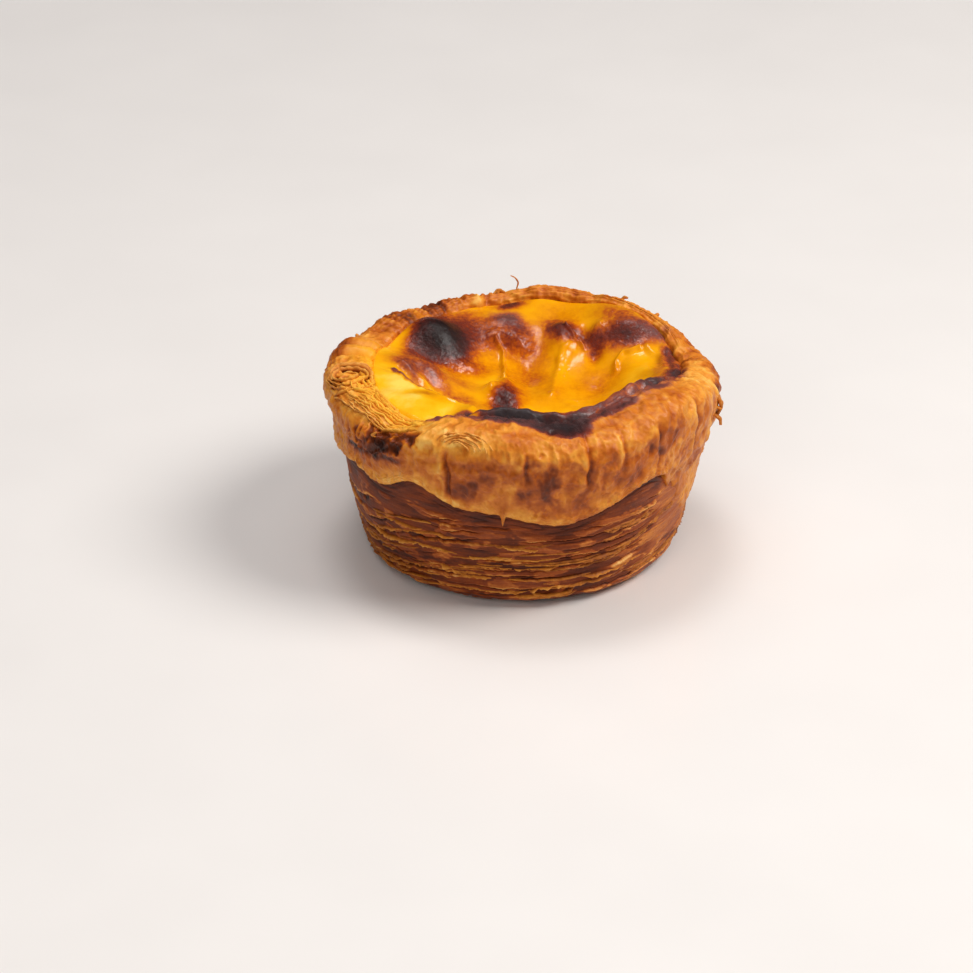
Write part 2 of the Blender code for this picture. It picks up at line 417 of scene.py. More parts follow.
# ---------------------------------------------------------------- materials
class Nodes:
    """Small helper that wires one material's nodes."""

    def __init__(self, name):
        self.material = bpy.data.materials.new(name)
        self.material.use_nodes = True
        self.tree = self.material.node_tree
        self.shader = self.tree.nodes["Principled BSDF"]
        self.place = self.new("TexCoord").outputs["Object"]

    def new(self, kind):
        return self.tree.nodes.new("ShaderNode" + kind)

    def link(self, source, target):
        self.tree.links.new(source, target)

    def field(self, name):
        node = self.new("Attribute")
        node.attribute_name = name
        return node.outputs["Fac"]

    def stretched(self, scale):
        node = self.new("Mapping")
        node.inputs["Scale"].default_value = scale
        self.link(self.place, node.inputs["Vector"])
        return node.outputs["Vector"]

    def noise(self, size_mm, detail=3.0, roughness=0.55, stretch=(1, 1, 1), distortion=0.0):
        """Noise from 0 to 1 whose features are about size_mm across."""
        node = self.new("TexNoise")
        scale = tuple(1.0 / (size_mm * MM * s) for s in stretch)
        self.link(self.stretched(scale), node.inputs["Vector"])
        node.inputs["Scale"].default_value = 1.0
        node.inputs["Detail"].default_value = detail
        node.inputs["Roughness"].default_value = roughness
        node.inputs["Distortion"].default_value = distortion
        return node.outputs["Fac"]

    def math(self, operation, a, b):
        node = self.new("Math")
        node.operation = operation
        for socket, value in zip(node.inputs, (a, b)):
            if isinstance(value, (int, float)):
                socket.default_value = value
            else:
                self.link(value, socket)
        return node.outputs["Value"]

    def add(self, a, b):
        return self.math("ADD", a, b)

    def times(self, a, b):
        return self.math("MULTIPLY", a, b)

    def span(self, value, from_low, from_high, to_low=0.0, to_high=1.0):
        node = self.new("MapRange")
        self.link(value, node.inputs["Value"])
        names = ("From Min", "From Max", "To Min", "To Max")
        for name, number in zip(names, (from_low, from_high, to_low, to_high)):
            node.inputs[name].default_value = number
        return node.outputs["Result"]

    def vary(self, noise, low, high):
        """Noise, most of which lies from 0.3 to 0.7, spread from low to high."""
        return self.span(noise, 0.3, 0.7, low, high)

    def ramp(self, value, stops):
        node = self.new("ValToRGB")
        elements = node.color_ramp.elements
        while len(elements) < len(stops):
            elements.new(0.5)
        for element, (place, color) in zip(elements, stops):
            element.position = place
            element.color = (*linear(color), 1.0)
        self.link(value, node.inputs["Fac"])
        return node.outputs["Color"]

    def mix(self, share, a, b):
        node = self.new("Mix")
        node.data_type = "RGBA"
        self.link(share, node.inputs["Factor"])
        for socket, value in ((node.inputs[6], a), (node.inputs[7], b)):
            if isinstance(value, tuple):
                socket.default_value = (*linear(value), 1.0)
            else:
                self.link(value, socket)
        return node.outputs[2]

    def bump(self, height, strength, distance_mm, after=None):
        node = self.new("Bump")
        node.inputs["Strength"].default_value = strength
        node.inputs["Distance"].default_value = distance_mm * MM
        self.link(height, node.inputs["Height"])
        if after is not None:
            self.link(after, node.inputs["Normal"])
        return node.outputs["Normal"]

    def finish(self, color, roughness, normal, **fixed):
        self.link(color, self.shader.inputs["Base Color"])
        self.link(roughness, self.shader.inputs["Roughness"])
        self.link(normal, self.shader.inputs["Normal"])
        for name, value in fixed.items():
            self.shader.inputs[name.replace("_", " ")].default_value = value
        return self.material


def linear(color):
    """Scene-linear values of a display colour given from 0 to 255."""
    values = np.array(color, float) / 255.0
    return tuple(np.where(values <= 0.04045, values / 12.92, ((values + 0.055) / 1.055) ** 2.4))


# The palest stop also colours the painted highlight on the custard's shelf, where the burning is negative.
BURN_COLORS = [
    (0.0, (255, 214, 92)),
    (0.07, (253, 188, 30)),
    (0.14, (243, 168, 4)),
    (0.26, (218, 134, 0)),
    (0.4, (184, 86, 12)),
    (0.56, (120, 42, 18)),
    (0.76, (64, 21, 16)),
    (1.0, (27, 11, 9)),
]
# Greys for burnt skin, partly the colour of ash and partly a painted sheen.
ASH_AND_SHEEN = ((152, 108, 104), (70, 60, 62))


def crust_material():
    """Golden blistered skin: browning darkens it, together with painted shade in its hollows and grooves,
    'soak' is custard, burning chars it and the ash field greys it with ash and a painted sheen.
    """
    n = Nodes("crust_skin")
    mottle = n.noise(2.8, 5.0, 0.55)
    fine = n.noise(0.6, 4.0, 0.6)
    brown = n.add(n.field("brown"), n.vary(mottle, -0.1, 0.1))
    brown = n.add(brown, n.vary(fine, -0.03, 0.03))
    color = n.ramp(brown, [
        (0.0, (248, 192, 96)),
        (0.16, (231, 154, 56)),
        (0.34, (207, 118, 32)),
        (0.52, (174, 84, 16)),
        (0.72, (122, 52, 15)),
        (1.0, (44, 19, 12)),
    ])
    color = n.mix(n.times(n.field("soak"), n.span(brown, 0.7, 0.3, 0.2, 1.0)), color, (246, 170, 34))
    burn = n.add(n.field("burn"), n.vary(fine, -0.05, 0.05))
    charred = n.ramp(burn, BURN_COLORS)
    # the ash field greys charred skin, partly as ash and partly as a painted sheen
    ash = n.times(n.field("ash"), n.vary(fine, 0.5, 0.9))
    charred = n.mix(ash, charred, n.mix(n.span(burn, 0.3, 1.0), *ASH_AND_SHEEN))
    color = n.mix(n.span(burn, 0.2, 0.5), color, charred)
    relief = n.noise(0.9, 6.0, 0.65)
    grain = n.noise(0.35, 3.0, 0.6, stretch=(1, 1, 0.5))
    normal = n.bump(relief, 0.3, 0.2)
    normal = n.bump(grain, 0.2, 0.1, normal)
    roughness = n.add(n.vary(mottle, 0.36, 0.52), n.span(burn, 0.4, 0.8, 0.0, -0.18))
    return n.finish(color, roughness, normal, Specular_IOR_Level=0.28)


def layers_material():
    """Laminated wall: 'tone' runs from dark gaps, which are painted shade, over brown bands and the painted
    shade under the collar, to the pale rims of sheets.
    """
    n = Nodes("crust_layers")
    mottle = n.noise(4.0, 4.0, 0.6, stretch=(1.6, 1.6, 0.7))
    streaks = n.noise(0.45, 4.0, 0.6, stretch=(12, 12, 0.8))
    speckle = n.noise(0.5, 4.0, 0.65)
    tone = n.add(n.field("tone"), n.vary(mottle, -0.08, 0.08))
    tone = n.add(tone, n.vary(streaks, -0.06, 0.06))
    tone = n.add(tone, n.vary(speckle, -0.035, 0.035))
    color = n.ramp(tone, [
        (0.0, (38, 14, 7)),
        (0.2, (82, 33, 14)),
        (0.38, (128, 56, 20)),
        (0.55, (166, 82, 32)),
        (0.75, (214, 132, 58)),
        (1.0, (246, 192, 112)),
    ])
    normal = n.bump(streaks, 0.35, 0.25)
    normal = n.bump(speckle, 0.3, 0.12, normal)
    roughness = n.vary(mottle, 0.45, 0.62)
    return n.finish(color, roughness, normal, Specular_IOR_Level=0.22)


def custard_material():
    """Glossy custard: burning runs from yellow over orange and maroon to black, and is palest at a painted
    highlight; the ash field greys it with ash and a painted sheen.
    """
    n = Nodes("custard_skin")
    cloud = n.noise(4.0, 4.0, 0.55)
    fine = n.noise(0.8, 4.0, 0.6)
    burn = n.add(n.field("burn"), n.vary(cloud, -0.04, 0.04))
    burn = n.add(burn, n.times(n.vary(fine, -0.09, 0.09), n.span(burn, 0.15, 0.4)))
    color = n.ramp(burn, BURN_COLORS)
    # the ash field greys burnt skin, partly as ash and partly as a painted sheen
    ash = n.times(n.field("ash"), n.vary(fine, 0.5, 0.9))
    color = n.mix(ash, color, n.mix(n.span(burn, 0.3, 1.0), *ASH_AND_SHEEN))
    wrinkle = n.noise(1.0, 4.0, 0.6, distortion=0.6)
    relief = n.times(wrinkle, n.span(burn, 0.25, 0.7, 0.04, 1.0))
    normal = n.bump(relief, 0.6, 0.3)
    normal = n.bump(n.noise(0.45, 3.0, 0.5), 0.2, 0.08, normal)
    roughness = n.span(burn, 0.35, 0.9, 0.15, 0.42)
    material = n.finish(
        color, roughness, normal,
        Specular_IOR_Level=0.38, Subsurface_Weight=0.08, Subsurface_Scale=0.0012,
    )
    n.shader.inputs["Subsurface Radius"].default_value = (1.0, 0.55, 0.2)
    return material


# ---------------------------------------------------------------- the collar
# (name, first direction, last direction, columns): the front shows most, so it is the finest
COLLAR_PARTS = [
    ("crust_collar_front", -205.0, 5.0, 840),
    ("crust_collar_back", 5.0, 155.0, 430),
]
RIM_ROWS = 54
SKIRT_ROWS = 54
UNDER_ROWS = 6
HIDDEN_EDGE = 32.0              # height of the collar's inner edge, which the custard hides
CLING_DEPTH = 0.75              # how much closer to the wall the skin lies where it clings
DIVE_DEPTH = 0.9                # how far its edge dives into the layers there
# hollow below the rolled end: direction, half width in degrees, height, half height, depth
HOLLOW = (-165, 22, 28.5, 3.4, 1.1)
SWIRL_AT = (-170.0, 33.2, 0.8)  # the dough's rolled end: direction, radius, distance out from the crest
FAN_AT = (-108.5, 4.4)          # direction and distance out from the crest of the small fan of sheets


def rim_section():
    """Nominal section from under the custard, over the rim, to the widest part of the collar."""
    inner_roll = (RIM_RADIUS - LIP_RADIUS, RIM_HEIGHT - LIP_HEIGHT)
    section = [(inner_wall(HIDDEN_EDGE), HIDDEN_EDGE), (LIP_RADIUS - 0.1, LIP_HEIGHT - 0.3)]
    section += arc((RIM_RADIUS, LIP_HEIGHT), inner_roll, 165, 90, 6)
    outer_roll = (COLLAR_RADIUS - RIM_RADIUS, RIM_HEIGHT - COLLAR_WIDEST)
    section += arc((RIM_RADIUS, COLLAR_WIDEST), outer_roll, 85, 0, 10)
    return spread(section, RIM_ROWS)


def collar_base(angle):
    """Closed section at every angle: over the rim, down the collar and back inside the wall."""
    rim = rim_section()
    radius, height = shape_case(rim[:, :1], angle, rim[:, 1:])
    start = height[-1:]
    edge = collar_skirt(angle)
    part = np.linspace(0, 1, SKIRT_ROWS + 1)[1:, None]
    skirt_height = start + (edge - start) * part
    nominal = np.clip((COLLAR_WIDEST - skirt_height) / (COLLAR_WIDEST - COLLAR_HEIGHT), 0, 1)
    taper = COLLAR_RADIUS - (COLLAR_RADIUS - COLLAR_EDGE_RADIUS) * nominal**1.3
    below = np.maximum(COLLAR_HEIGHT - skirt_height, 0)
    taper = taper - (lower_wall(COLLAR_HEIGHT + 0 * below) - lower_wall(COLLAR_HEIGHT - below))
    # where the skin clings it lies closer to the wall, and its edge dives into the layers
    taper = taper - CLING_DEPTH * cling_share(angle) * smoothstep(27, 21, skirt_height)
    dive = smoothstep(-38, -33, angle) * cling_share(angle) * smoothstep(3.5, 0.0, skirt_height - edge)
    taper = taper - DIVE_DEPTH * dive
    direction, half_width, level, half_height, depth = HOLLOW
    hollow = bell(turn_from(angle, direction), 0, half_width)
    taper = taper - depth * hollow * bell(skirt_height, level, half_height)
    upper = smoothstep(COLLAR_HEIGHT, COLLAR_WIDEST, skirt_height)
    skirt_radius = taper + around(angle, BULGES) * upper + waves(angle, WALL_WOBBLE)
    skirt_radius = skirt_radius + 0.12 * below / (1 + below)
    joined = radius[-1:] - skirt_radius[:1]
    skirt_radius = skirt_radius + joined * (1 - part) ** 2
    under = []
    for inward, up in ((0.25, -0.06), (0.6, 0.05), (1.1, 0.35), (1.8, 1.5)):
        under.append((skirt_radius[-1:] - inward, edge + up))
    under.append((0 * edge + 31.6, edge * 0.5 + 15.0))
    under.append((radius[:1] + 0.4, height[:1] - 0.6))
    radius = np.concatenate([radius, skirt_radius] + [u[0] for u in under])
    height = np.concatenate([height, skirt_height] + [u[1] for u in under])
    return radius, height


# (direction, low end, high end, half width in degrees, depth in mm)
CREASES = [
    (-112, 24, 36, 0.7, 0.8),
    (-71, 28, 38, 0.8, 0.8),
    (-89, 30, 37, 0.7, 0.5),
    (-60, 31, 38, 0.7, 0.5),
    (-47, 29, 37, 0.6, 0.35),
    (-28, 26, 38, 0.9, 0.5),
    (-14, 22, 35, 1.0, 0.5),
    (-4, 24, 35, 1.2, 0.7),
    (24, 25, 34, 1.0, 0.6),
    (55, 26, 36, 1.4, 0.8),
    (82, 24, 34, 1.0, 0.6),
    (118, 25, 35, 1.2, 0.8),
    (143, 26, 35, 1.0, 0.6),
    (166, 24, 33, 1.1, 0.6),
]
# (direction, height, half width in degrees, half height in mm, amount)
BROWN_PATCHES = [
    (-108, 30.0, 6, 4.5, 0.2),
    (-103, 28.4, 4, 2.2, 0.08),
    (-96, 31.5, 5, 3.0, 0.12),
    (-86, 30.0, 6.5, 4.2, 0.22),
    (-83, 29.5, 2.0, 3.0, 0.12),
    (-88, 35.0, 3, 1.2, 0.16),
    (-66, 33.5, 5, 2.5, 0.14),
    (-57, 30.0, 6, 2.5, 0.1),
    (-46, 33.6, 6, 2.6, 0.24),
    (-33, 30.0, 5, 4.0, 0.1),
    (-150, 27.5, 9, 2.0, 0.12),
    (3, 31.0, 8, 4.0, 0.2),
    (20, 28.0, 8, 4.0, 0.15),
    (40, 30.0, 12, 4.0, 0.22),
    (75, 31.0, 10, 5.0, 0.15),
    (105, 29.0, 12, 4.0, 0.25),
    (122, 35.2, 4.5, 1.4, 0.26),
    (133, 35.2, 3.0, 1.2, 0.16),
    (135, 31.0, 9, 4.0, 0.2),
    (160, 28.0, 9, 3.0, 0.2),
]
# small slots between the sheets of the rolled end, sunk and darkened with painted shade, in mm:
# (along the rim, across it, half length, half width, turn in degrees)
SWIRL_SLOTS = [
    (-2.9, -0.2, 1.5, 0.42, 8),
    (-2.3, 1.5, 1.2, 0.4, 25),
    (-0.6, 2.3, 0.45, 1.3, 10),
    (0.9, 0.4, 1.1, 0.4, 35),
    (1.4, 2.9, 0.9, 0.4, -40),
    (-1.2, -1.4, 1.5, 0.36, -15),
    (3.0, 1.4, 0.5, 0.8, 0),
    (2.0, -2.0, 1.6, 0.34, 20),
]


def rolled_end(points, angle, outward):
    """Share, relief and browning of the laminated dough along the left of the rim, with painted shade in
    the slots between its sheets.
    """
    x, y, _ = np.moveaxis(points, -1, 0)
    along = turn_from(angle, SWIRL_AT[0]) * np.radians(1.0) * SWIRL_AT[1]
    across = outward - SWIRL_AT[2]
    near = smoothstep(6.0, 4.0, np.hypot(along, across))
    share = smoothstep(-6.2, -3.0, across) * smoothstep(5.8, 3.2, across + 0.1 * along)
    share = np.maximum(share * smoothstep(-5.5, -3.5, along) * smoothstep(32, 26, along), near)
    streaks = noise(x / 3.5, y / 3.5, (across + 0.1 * along) / 0.5, 14)
    relief = share * (0.22 * streaks - 0.3)
    brown = share * (0.04 - 0.16 * streaks)
    for slot_along, slot_across, length, width, turned in SWIRL_SLOTS:
        oval = turned_oval(along, across, slot_along, slot_across, length, width, turned)
        hole = np.exp(-(oval**4))
        # each slot is sunk and darkened with painted shade
        relief = relief - 0.9 * hole * near
        brown = brown + 0.7 * hole * near
    return share, relief, brown


def torn_patch(points, angle, height, outward):
    """Share, relief and browning of the burnt and torn skin at the left front."""
    place = x, y, z = np.moveaxis(points, -1, 0)
    slope = 33.2 + 0.2 * (angle + 138)
    wander = 1.0 * rough(place, 2.6, 24) + 0.6 * rough(place, 1.0, 25)
    oval = np.hypot((angle + 138) / 15.0, (height - slope) / 3.1)
    share = smoothstep(1.12, 0.8, oval + 0.26 * wander) * smoothstep(1.0, 2.6, outward + 0.6 * wander)
    shards = np.abs(rough((x, y, z - 0.16 * angle), 1.7, 26, 1.9) + 0.3 * wander)
    relief = -0.5 + 0.9 * smoothstep(0.3, 0.0, shards) + 0.35 * wander
    kept = smoothstep(-0.5, 0.6, 0.9 * wander + (-137 - angle) / 14 + (height - slope) / 8)
    golden = smoothstep(0.26, 0.05, shards) * kept
    brown = 0.52 - 0.2 * kept - 0.42 * golden
    loop = turned_oval(turn_from(angle, -143.4) * 0.64, height - 34.2, 0, 0, 0.75, 1.9, -8)
    ring = bell(loop, 1.0, 0.3)
    relief = relief * (1 - ring) + 0.9 * ring
    brown = brown * (1 - ring) - 0.05 * ring
    line = bell(height - (30.0 + 0.12 * (angle + 139)), 0.4 * wander, 0.8) * smoothstep(-158, -152, angle)
    line = line * smoothstep(-124, -131, angle)
    return share, relief, brown, line


def collar_relief(points, angle, height, outward):
    """Outward shift of the skin in mm, its browning with painted shade and highlights, its charring, and
    its ash with a painted sheen.
    """
    place = x, y, z = np.moveaxis(points, -1, 0)
    lumps = layered_noise(x / 9, y / 9, z / 9, 3, 2)
    blister = rough(place, 3.2, 5, 2.8)
    wrinkle = 0.5 - np.abs(rough(place, 1.9, 6, 4.5) + 0.25 * rough(place, 0.9, 16, 1.2)) * 1.6
    small = rough(place, 1.0, 7)
    crinkle = 0.4 - np.abs(rough(place, 1.1, 17, 1.3) + 0.3 * small) * 1.5
    swirls = noise(x / 4.2 + 0.7 * blister, y / 4.2 + 0.7 * small, z / 3.2 + 0.7 * blister, 18)
    shift = 0.34 * lumps + 0.36 * (0.5 - np.abs(blister)) * 1.6 + 0.26 * wrinkle + 0.1 * crinkle
    shift += 0.03 * rough(place, 0.5, 8)
    blotches = np.tanh(2.2 * (swirls + 0.35 * rough(place, 1.6, 19)))
    # the skin is paler on the ridges of its wrinkles and crinkles and darker in their hollows, a painted
    # highlight and painted shade besides its own browning and blotches
    brown = 0.37 + 0.11 * lumps - 0.09 * wrinkle - 0.03 * crinkle - 0.04 * blister + 0.1 * blotches
    # each crease is a groove with a raised lip beside it; the groove is darkened with painted shade and the
    # lip lightened with a painted highlight
    for centre, low, high, width, depth in CREASES:
        wander = 1.2 * noise(height / 4, 0.0, centre, 21)
        reach = window(height, low - 1, low + 2, high - 2, high + 1)
        offset = turn_from(angle, centre + wander)
        groove = bell(offset, 0.0, width)
        shift += 0.75 * depth * reach * (0.5 * bell(offset, -2.2 * width, 1.6 * width) - groove)
        brown += (0.24 * groove - 0.12 * bell(offset, -2.2 * width, 1.4 * width)) * reach
    # broad differences around the tart, then the brown patches
    brown += 0.08 * smoothstep(-84, -66, angle) * smoothstep(-18, -32, angle)
    leftward = smoothstep(130, 170, angle)
    brown += 0.04 * smoothstep(-118, -108, angle) * smoothstep(-66, -76, angle) * smoothstep(37, 34, height)
    brown -= 0.05 * np.maximum(smoothstep(-96, -112, angle), leftward)
    for centre, level, wide, tall, amount in BROWN_PATCHES:
        wander = 0.8 * rough(place, 3, int(abs(centre)) + 40) + 0.3 * noise(x, y, z, 23)
        distance = (turn_from(angle, centre) / wide) ** 2 + ((height - level) / tall) ** 2
        brown += amount * smoothstep(1.5, 0.5, distance + wander)
    # the lower edge is a golden roll with fine ripples
    edge_distance = height - collar_edge(angle)
    golden = bell(edge_distance, 0.9, 1.3) * np.maximum(smoothstep(-41, -45, angle), leftward)
    golden = 0.75 * golden * (1 - 0.8 * bell(turn_from(angle, DRIP_AT), 0, 1.2)) + 0.3 * cling_share(angle)
    ripples = np.cos(2 * np.pi * (edge_distance + 0.5 * small) / 0.62)
    brown += golden * (0.06 * ripples * smoothstep(-95, -86, angle) - 0.2)
    shift += bell(edge_distance, 0.9, 1.2) * (0.26 + 0.07 * ripples)
    # the top of the rim: rings at the back, flutes at the back left, lobes at the left, one blister; the
    # grooves between rings, flutes and lobes are darkened with painted shade
    top = smoothstep(32.5, 36.0, height)
    brown -= 0.1 * top
    back = top * smoothstep(10, 30, np.abs(turn_from(angle, -75)) - 60)
    rings = np.cos(2 * np.pi * (outward + 0.6 * lumps) / 0.85 + 2.0 * blister)
    shift += 0.1 * back * rings
    brown += 0.07 * back * (1 - rings)
    flutes = np.cos(np.radians(turn_from(angle, 120) * 125) + 1.8 * blister)
    fluted = window(angle, 92, 100, 144, 152) * bell(outward, 0.5, 3.0)
    shift += 0.16 * fluted * flutes
    brown += 0.07 * fluted * (1 - flutes)
    turn = angle % 360
    lobes = np.abs(np.cos(np.pi * (turn - 160.5) / 8)) ** 0.6
    lobed = window(turn, 153, 157, 172, 176) * bell(outward, -0.5, 5.5)
    shift = shift * (1 - 0.7 * lobed) + 1.7 * lobed * (lobes - 0.6)
    brown = brown * (1 - 0.6 * lobed) + lobed * (0.3 * smoothstep(0.5, 0.1, lobes) + 0.14)
    brown += 0.35 * lobed * smoothstep(0.2, 2.2, outward)
    across = turn_from(angle, 105.5) * 0.56
    blistered = np.exp(-turned_oval(across, outward, 0, -2.0, 1.3, 1.7, 0) ** 4)
    shift += 0.9 * blistered
    brown -= 0.3 * blistered
    # the rolled end, the torn patch and the bed of the fan
    share, relief, tone = rolled_end(points, angle, outward)
    shift = shift * (1 - 0.6 * share) + relief
    brown = brown * (1 - 0.75 * share) + 0.06 * share + tone
    share, relief, tone, line = torn_patch(points, angle, height, outward)
    shift = shift + 0.55 * share * relief - 0.3 * line
    brown = np.maximum(brown * (1 - share) + (0.4 + tone) * share, brown + 0.5 * line)
    fan = np.hypot(turn_from(angle, FAN_AT[0]) * 0.62 / 4.6, (outward - FAN_AT[1] + 1.2) / 2.6)
    brown -= 0.1 * smoothstep(1.3, 0.6, fan)
    shift -= 0.25 * smoothstep(1.2, 0.6, fan)
    near = smoothstep(34.0, 35.5, height) * (np.hypot(x, y) < 35)
    # the custard's burns run on over the lip
    burn, ash = skin_marks(x, y)
    shift += near * skin_folds(x, y)
    return shift, brown, near * burn, near * ash


def make_collar(first, last, columns, material):
    """The collar between two directions, with normals worked out past its ends so that parts match."""
    step = (last - first) / columns
    angle = first + step * np.arange(-1, columns + 2)[None, :]
    radius, height = collar_base(turn_from(angle, 0.0))
    outward = rim_distance()[:, None] + 0 * radius
    angle = np.broadcast_to(turn_from(angle, 0.0), radius.shape)
    base = cylinder_points(radius, angle, height)
    normals = grid_normals(base, False)
    shift, brown, burn, ash = collar_relief(base, angle, height, outward)
    rows = len(radius)
    row = np.arange(rows)[:, None]
    shown = smoothstep(1, 8, row) * smoothstep(rows - UNDER_ROWS + 1, rows - UNDER_ROWS - 3, row)
    points = base + normals * (shift * shown)[..., None]
    lip = smoothstep(20, 6, row) * (row < RIM_ROWS)
    left = smoothstep(52, 28, np.abs(turn_from(angle, -158)))
    forward = smoothstep(0.3, -0.6, np.sin(np.radians(angle)))
    soak = lip * (0.1 + 0.25 * forward + 0.6 * left) + 0.85 * left * smoothstep(31, 17, row)
    turned = grid_normals(points, False)
    kept = slice(1, columns + 2)
    fields = {"brown": brown, "burn": burn, "ash": ash, "soak": np.clip(soak, 0, 1)}
    fields = {name: values[:, kept] for name, values in fields.items()}
    faces = grid_faces(rows, columns + 1, False, True)
    flat = strip_map(rows, columns + 1, False, True, 4)
    return points[:, kept], faces, flat, fields, material, turned[:, kept]


def rim_distance():
    """Path length of each row of the collar from the rim's crest, outward positive."""
    rim = rim_section()
    lengths = np.concatenate([[0.0], np.cumsum(np.hypot(*np.diff(rim, axis=0).T))])
    crest = lengths[np.argmax(rim[:, 1])]
    skirt = lengths[-1] + 0.2 * np.arange(1, SKIRT_ROWS + UNDER_ROWS + 1)
    return np.concatenate([lengths, skirt]) - crest


# ---------------------------------------------------------------- the laminated lower wall
LAYER_COLUMNS = 500
LAYER_ROWS = 292
LAYER_SPLIT = 150               # row where the wall is cut into an upper and a lower piece
SHEET_EDGES = 14
SHEET_SPACING = 1.36
LEFT_DROP = -6.0                # how far the layers sink towards the left side
RIGHT_CLIMB = 3.0               # how far they climb towards the right side
TEAR_AT = -117                  # the layers jump here


def layers_profile():
    """Section (radius, height) down the wall, around the foot and in under the tart."""
    wall = [(lower_wall(h), h) for h in np.linspace(30.5, FOOT_HEIGHT, 24)]
    foot = arc((BASE_RADIUS, FOOT_HEIGHT), (FOOT_RADIUS - BASE_RADIUS, FOOT_HEIGHT), -8, -90, 8)
    visible = spread(wall + foot, LAYER_ROWS - 6)
    under = spread([(BASE_RADIUS - 2.0, 0.0), (0.4, 0.0)], 6)
    return np.concatenate([visible, under])


def layer_level(x, y, z, angle):
    """Height of a point within the stack of sheets, which sags to the left and is torn in one place."""
    drop = LEFT_DROP * smoothstep(-104, -160, angle) + LEFT_DROP * smoothstep(110, 180, angle)
    drop = drop + RIGHT_CLIMB * smoothstep(-78, -25, angle) * smoothstep(110, 40, angle)
    wander = turn_from(angle, TEAR_AT) + 1.3 * noise(z / 2.5, 0.0, 0.0, 35)
    tear = 0.5 * smoothstep(-0.5, 0.5, wander) * smoothstep(40, 10, wander)
    uneven = 0.6 * rough((x, y, z), 18, 31, 25) + 0.2 * rough((x, y, z), 5, 32, 6)
    return z - drop * bell(z, 11, 8) + tear + uneven


def layers_relief(points, angle, height):
    """Outward shift of the wall in mm, and its tone from dark, 0, to pale, 1, with painted shade in the
    gaps under the sheets and under the collar.
    """
    place = x, y, z = np.moveaxis(points, -1, 0)
    level = layer_level(x, y, z, angle)
    below_collar = collar_edge(angle) - height
    # the strip just under the collar's overhang, which gets painted shade
    band = smoothstep(5.0, 2.2, below_collar)
    second = smoothstep(0.2, 0.5, level - 9.2) * smoothstep(11.2, 10.8, level)
    clung = cling_share(angle) * smoothstep(6.0, 10.0, height + 1.2 * rough(place, 4, 56))
    loose = (1 - 0.85 * band - 0.6 * second) * (1 - 0.85 * clung)
    shift = 0.18 * rough((x, y, level), 8, 36, 1.5)
    tone = 0.3 + 0.1 * rough((x, y, level), 9, 37, 1.2)
    tone += 0.12 * smoothstep(-75, -35, angle) * smoothstep(150, 90, angle)
    for k in range(SHEET_EDGES):
        edge = 2.6 + SHEET_SPACING * k + 0.3 * np.sin(2.4 * k)
        ragged = 0.36 * noise(x / 2.4, y / 2.4, 7.7 * k, 80) + 0.17 * noise(x / 0.9, y / 0.9, 5.1 * k, 81)
        there = smoothstep(-0.25, 0.3, noise(x / 10, y / 10, 3.3 * k, 82)) * loose
        over = (level - edge - ragged) * (1 if k % 3 else -1)
        tongue = smoothstep(0, 0.15, over) * np.exp(-np.maximum(over, 0) / 1.1)
        # under each sheet's edge is a gap, sunk and darkened with painted shade; the rim above it is pale
        gap = bell(over, -0.16, 0.17)
        rim = bell(over, 0.12, 0.15)
        shift += there * (0.42 * tongue - 0.34 * gap)
        tone += there * (0.36 * rim - 0.3 * gap + 0.05 * tongue)
    torn = rough(place, 5.5, 50, 1.8) + 0.3 * rough(place, 1.2, 51, 0.7)
    torn = (torn - 0.18) * loose
    flaked = smoothstep(-0.02, 0.1, torn)
    tone += 0.2 * flaked + 0.16 * bell(torn, 0.03, 0.06)
    shift += 0.12 * flaked
    grain = rough(place, 6, 38, 0.5)
    shift += 0.04 * grain
    # under the collar the wall is sunk and darkened with painted shade from the overhang, with darker
    # cracks in it
    shift = shift * (1 - 0.7 * band) - 0.2 * band
    lines = rough((x, y, below_collar), 6, 39, 0.5)
    cracks = bell(rough((x, y, below_collar), 8, 40, 0.9), 0.1, 0.09)
    shift -= 0.14 * band * cracks
    tone = tone * (1 - 0.8 * band) + 0.8 * band * (0.23 + 0.09 * lines - 0.16 * cracks)
    tone -= 0.12 * second
    tone += clung * (0.62 - tone) * 0.8
    return shift - 0.3, tone


